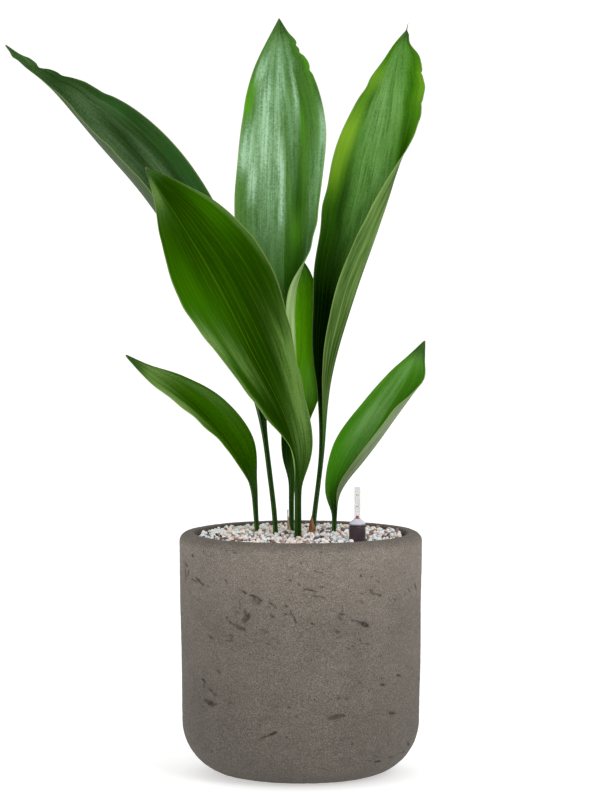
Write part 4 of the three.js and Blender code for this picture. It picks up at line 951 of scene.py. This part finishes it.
def leafSkin(name, look, shape, under=False):
    # waxy leaf skin over parallel veins: satin, finely lined along the blade, pale in streaks where the wax
    # blooms and where a sheen is painted, with shade painted in where little light comes in
    gloss = 0.12 if under else look["gloss"]
    material, add, shader = newMaterial(name, IOR=1.45)
    place = {key: add("Attribute", attribute_name=key).outputs["Fac"]
             for key in ("across", "along", "blade", "edge", "toTip", "bloomAndSheen", "paintedShade", "lighterGreen")}
    slow = add("Math", [place["along"], shape["fineStretch"]], "MULTIPLY")
    lined = add("CombineXYZ", [place["across"], slow])
    fine = add("TexNoise", {"Vector": lined, "Scale": 1 / shape["fine"], "Detail": 2, "Roughness": 0.6})
    slower = add("Math", [place["along"], shape["streakStretch"]], "MULTIPLY")
    broad = add("CombineXYZ", [place["across"], slower])
    streak = add("TexNoise", {"Vector": broad, "Scale": 1 / shape["streak"], "Detail": 3, "Roughness": 0.6})
    at = add("TexCoord").outputs["Object"]
    mottle = add("TexNoise", {"Vector": at, "Scale": 1000 / shape["mottle"], "Detail": 2, "Roughness": 0.6})
    both = add("Math", [fine, 0.44], "MULTIPLY")
    spread = add("Math", [mottle, 0.5], "SUBTRACT")
    both = add("Math", [spread, 0.1 if under else look["mottle"], both], "MULTIPLY_ADD")
    both = add("Math", [streak, 0.9, both], "MULTIPLY_ADD")
    ends = look["under"] if under else look["upper"]
    skin = add("ValToRGB", [both], stops=[(0.5, ends[0]), (0.84, ends[1])])
    # the pale wax and the painted sheen are combed into streaks by the veins
    comb = add("MapRange", [both, 0.52, 0.8, 0.35, 1.25])
    bloomAndSheen = add("Math", [place["bloomAndSheen"], comb], "MULTIPLY", use_clamp=True)
    # painted shade, lighter green and the pale wax with painted sheen are mixed into the colour
    tones = [("paintedShade", place["paintedShade"], 0.5)]
    if not under:
        tones = [("paintedShade", place["paintedShade"], 0.95), ("lighterGreen", place["lighterGreen"], 0.95), ("bloomAndSheen", bloomAndSheen, 0.95)]
    for key, source, share in tones:
        amount = add("Math", [source, share], "MULTIPLY", use_clamp=True)
        skin = add("MixRGB", [amount, skin, look[key]])
    # main veins: thin pale lines side by side
    sway = add("Math", [streak, 0.5], "MULTIPLY")
    row = add("Math", [place["across"], 1 / shape["vein"], sway], "MULTIPLY_ADD")
    nearest = add("Math", [row, 0.5], "PINGPONG")
    line = add("MapRange", [nearest, 0, shape["underWidth"] if under else shape["lineWidth"], 1, 0])
    faintest, strongest = (0.2, 0.9) if under else (0.1, 1.7 * look["lines"])
    uneven = add("MapRange", [streak, 0.35, 0.65, faintest, strongest])
    veined = add("Math", [line, uneven], "MULTIPLY", use_clamp=True)
    skin = add("MixRGB", [veined, skin, ends[1] if under else look["line"]])
    fromRib = add("Math", [place["across"]], "ABSOLUTE")
    ribLine = add("MapRange", [fromRib, 0.2, shape["ribWidth"], 0.45, 0])
    skin = add("MixRGB", [ribLine, skin, look["line"]])
    # painted highlight: a pale line along the margin, where the thin edge catches the light
    rim = add("MapRange", [place["edge"], 0.965, 0.995, 0, 0.38])
    skin = add("MixRGB", [rim, skin, "#93ac62"])
    stalk = add("ValToRGB", [both], stops=[(0.52, "#1c360e"), (0.84, "#466e2e")])
    whole = add("MixRGB", [place["blade"], stalk, skin])
    dry = add("MapRange", [place["toTip"], 0.6, 3, 1, 0])
    colour = add("MixRGB", [dry, whole, "#6a6434"])
    shine = add("Math", [bloomAndSheen, 0.3, gloss], "MULTIPLY_ADD")
    # the painted shade takes the shine away too
    lit = add("Math", [1, place["paintedShade"]], "SUBTRACT", use_clamp=True)
    shine = add("Math", [shine, lit], "MULTIPLY")
    rough = (0.5, 0.66) if under else (0.32, 0.46)
    wax = add("MapRange", [fine, 0.3, 0.7, rough[0], rough[1]])
    raised = add("Math", [line, 1.2, fine], "MULTIPLY_ADD")
    bump = add("Bump", {"Height": raised, "Strength": 0.4, "Distance": 0.0003})
    setInputs(shader, {"Base Color": colour, "Specular IOR Level": shine, "Roughness": wax, "Normal": bump})
    return material


def driedSheath(name, tones):
    # papery scale leaf, dried brown with darker parallel fibres and a pale torn edge
    material, add, shader = newMaterial(name, Roughness=0.8, IOR=1.4, Specular_IOR_Level=0.3)
    across = add("Attribute", attribute_name="across").outputs["Fac"]
    stage = add("Attribute", attribute_name="stage").outputs["Fac"]
    lined = add("CombineXYZ", [across, stage])
    fibres = add("TexNoise", {"Vector": lined, "Scale": 1.3, "Detail": 3, "Roughness": 0.6})
    brown = add("ValToRGB", [fibres], stops=[(0.34, tones[0]), (0.5, tones[1]), (0.66, tones[2])])
    bleach = add("MapRange", [stage, 0.6, 1, 0, 0.45])
    colour = add("MixRGB", [bleach, brown, tones[3]])
    bump = add("Bump", {"Height": fibres, "Strength": 0.5, "Distance": 0.0004})
    setInputs(shader, {"Base Color": colour, "Normal": bump})
    return material


def mouldedPlastic(name, colour, second, roughness, scale=1.2, texture=0.12, **sockets):
    # injection moulded: even colour, a fine satin texture from the mould
    material, add, shader = newMaterial(name, IOR=1.49, **sockets)
    at = add("TexCoord").outputs["Object"]
    cloud = add("TexNoise", {"Vector": at, "Scale": 1000 / (scale * 6), "Detail": 3})
    tint = add("ValToRGB", [cloud], stops=[(0.35, colour), (0.65, second)])
    fine = add("TexNoise", {"Vector": at, "Scale": 1000 / scale, "Detail": 2})
    rough = add("MapRange", [fine, 0, 1, roughness - 0.06, roughness + 0.06])
    bump = add("Bump", {"Height": fine, "Strength": texture, "Distance": 0.0002})
    setInputs(shader, {"Base Color": tint, "Roughness": rough, "Normal": bump})
    return material


def corkyRhizome():
    # creeping stem, grown: dull brown cork in patches of 4 mm, paler where its skin is worn
    material, add, shader = newMaterial("corkyRhizome", Roughness=0.88, IOR=1.45, Specular_IOR_Level=0.3)
    at = add("TexCoord").outputs["Object"]
    cork = add("TexNoise", {"Vector": at, "Scale": 1000 / 4, "Detail": 5, "Roughness": 0.65})
    colour = add("ValToRGB", [cork], stops=[(0.35, "#4c3a26"), (0.5, "#7a6344"), (0.68, "#a48d68")])
    bump = add("Bump", {"Height": cork, "Strength": 0.5, "Distance": 0.0008})
    setInputs(shader, {"Base Color": colour, "Normal": bump})
    return material


# Build everything

planterStone = castFibreStone(stoneLook)
buildPlanter(planterShape, planterTears, [planterStone])
print("planter built")

grit = {
    "grainsCream": crushedStone("marbleGrit", "#fffaf4", "#f2e2d6", 0.7, 2),
    "grainsPumice": crushedStone("pumiceGrit", "#f6fdff", "#dfedf3", 0.85, 1.2),
    "grainsPlum": crushedStone("purpleLavaGrit", "#9a8284", "#4c3638", 0.85, 1.2),
    "grainsRust": crushedStone("redLavaGrit", "#d8b4a6", "#7a5850", 0.88, 1.2),
    "grainsTan": crushedStone("zeoliteGrit", "#fdeede", "#e2c8b0", 0.75, 1.6),
    # the bed under the grains is painted near black, as painted shade in the gaps between them
    "granulateBed": crushedStone("granulateGapShade", "#3a322f", "#211b19", 0.95, 3),
}
# what stands in the granulate: x, y and radius of the gauge's pipe, then of each stalk
standing = [(*gaugeShape["centre"], gaugeShape["pipeRadius"] + 0.4)]
for name, plan in leafPlans.items():
    foot = throughRows(plan["rows"], np.linspace(0, 0.5, 200))
    here = foot[np.argmin(np.abs(foot[:, 2] - 245))]
    sheathed = any(sheath["stalk"] == name for sheath in sheathPlans.values())
    standing.append((here[0], here[1], 5.4 if sheathed else 2.6))
buildGrains(granulateShape, standing, grit)
buildBed(granulateShape, standing[0], grit["granulateBed"])
print("granulate built")

for name, plan in leafPlans.items():
    look = leafLooks[name]
    skins = [leafSkin(name + "UpperSkin", look, waxShape),
             leafSkin(name + "Underside", look, waxShape, under=True)]
    buildLeaf(name, plan, leafShape, skins, leafPatches[name], leafNotches.get(name, ()))
print("leaves built")

papers = {
    "sheath_left": driedSheath("bleachedSheath", ("#6e5a48", "#a48c74", "#c8b59c", "#d8cab2")),
    "sheath_right": driedSheath("driedSheath", ("#3c2216", "#86583a", "#bc9068", "#b08a64")),
}
for name, plan in sheathPlans.items():
    buildSheath(name, plan, sheathShape, papers[name])

gaugeMaterials = {
    "gaugePipe": mouldedPlastic("mouldedPolypropylene", "#38282f", "#42313a", 0.42),
    "clearTube": mouldedPlastic("clearStyreneTube", "#7c787c", "#848084", 0.25, texture=0.02, Alpha=0.25),
    "clearDome": mouldedPlastic("clearStyreneDome", "#d3d0da", "#dddae4", 0.18, texture=0.02, Alpha=0.9),
    "clearSeat": mouldedPlastic("clearStyreneSeat", "#6e686e", "#7c767c", 0.2, texture=0.02, Alpha=0.95),
    "clearBore": mouldedPlastic("clearStyreneBore", "#dbd7df", "#e0dde4", 0.2, texture=0.02, Alpha=0.05),
    "gaugeMarks": mouldedPlastic("printedMarks", "#d6b032", "#e0bc40", 0.5),
    "floatFoam": mouldedPlastic("closedCellFoam", "#e9e6df", "#f3f1ec", 0.8),
    "floatRod": mouldedPlastic("floatRod", "#d9d2c8", "#e6e0d8", 0.5),
    "pointer": mouldedPlastic("pointerCap", "#b42000", "#c83e06", 0.45),
}
buildPipe(gaugeShape, gaugeMaterials["gaugePipe"])
clearNames = ("clearTube", "clearDome", "clearSeat", "clearBore")
buildSightGlass(gaugeShape, [gaugeMaterials[name] for name in clearNames])
buildMarks(gaugeShape, gaugeMaterials["gaugeMarks"])
buildFloat(gaugeShape, [gaugeMaterials[name] for name in ("floatFoam", "floatRod", "pointer")])
print("gauge built")

cork = corkyRhizome()
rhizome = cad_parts["rhizome"]
rhizome.data.materials.clear()
rhizome.data.materials.append(cork)


# Studio: camera as the photograph, pale floor, soft light

scene = bpy.context.scene
# place in metres, degrees that it looks down, lens and sensor in millimetres
cameraSet = {"place": (-0.00092, -4.1, 0.68), "down": 4.1, "lens": 180, "sensor": 36}
cameraData = bpy.data.cameras.new("camera")
cameraData.lens, cameraData.sensor_width, cameraData.clip_end = cameraSet["lens"], cameraSet["sensor"], 50
camera = bpy.data.objects.new("camera", cameraData)
camera.location = cameraSet["place"]
camera.rotation_euler = (math.radians(90 - cameraSet["down"]), 0, 0)
scene.collection.objects.link(camera)
scene.camera = camera
scene.view_settings.view_transform = "Standard"

floorMaterial, add, floorShader = newMaterial("paleFloor", Roughness=0.9, Specular_IOR_Level=0,
                                              Emission_Color="#ffffff", Emission_Strength=0.5)
floorAt = add("TexCoord").outputs["Object"]
floorCloud = add("TexNoise", {"Vector": floorAt, "Scale": 3, "Detail": 2})
floorTone = add("ValToRGB", [floorCloud], stops=[(0.3, "#dedede"), (0.7, "#e2e2e2")])
setInputs(floorShader, {"Base Color": floorTone})
floorMesh = bpy.data.meshes.new("floor")
floorMesh.from_pydata([(-60, -60, 0), (60, -60, 0), (60, 60, 0), (-60, 60, 0)], [], [(0, 1, 2, 3)])
floorMesh.materials.append(floorMaterial)
floor = bpy.data.objects.new("floor", floorMesh)
scene.collection.objects.link(floor)

world = bpy.data.worlds.new("studio")
world.use_nodes = True
scene.world = world
add = partial(addNode, world.node_tree)
skyAt = add("SeparateXYZ", [add("TexCoord").outputs["Generated"]])
skyLight = add("MapRange", [skyAt.outputs["Z"], 0, 0.9, 0.42, 1])
seen = add("LightPath").outputs["Is Camera Ray"]
strength = add("MixRGB", [seen, skyLight, (1.05, 1.05, 1.05, 1)])
setInputs(world.node_tree.nodes["Background"], {"Color": strength})

# softboxes: place, aimed at, width, height, watts
softboxes = {
    "keyRight": ((1.6, -2.4, 1.9), (0, 0, 0.45), 1.4, 1.4, 30),
    "fillLeft": ((-2.2, -1.8, 1.3), (0, 0, 0.4), 1.4, 1.6, 3),
}
for name, (place, aim, width, height, watts) in softboxes.items():
    lightData = bpy.data.lights.new(name, "AREA")
    lightData.shape = "RECTANGLE"
    lightData.size, lightData.size_y, lightData.energy = width, height, watts
    lamp = bpy.data.objects.new(name, lightData)
    lamp.location = place
    direction = np.array(aim) - np.array(place)
    flat = math.hypot(direction[0], direction[1])
    lamp.rotation_euler = (math.atan2(flat, -direction[2]), 0, math.atan2(-direction[0], direction[1]))
    scene.collection.objects.link(lamp)
print("studio ready")
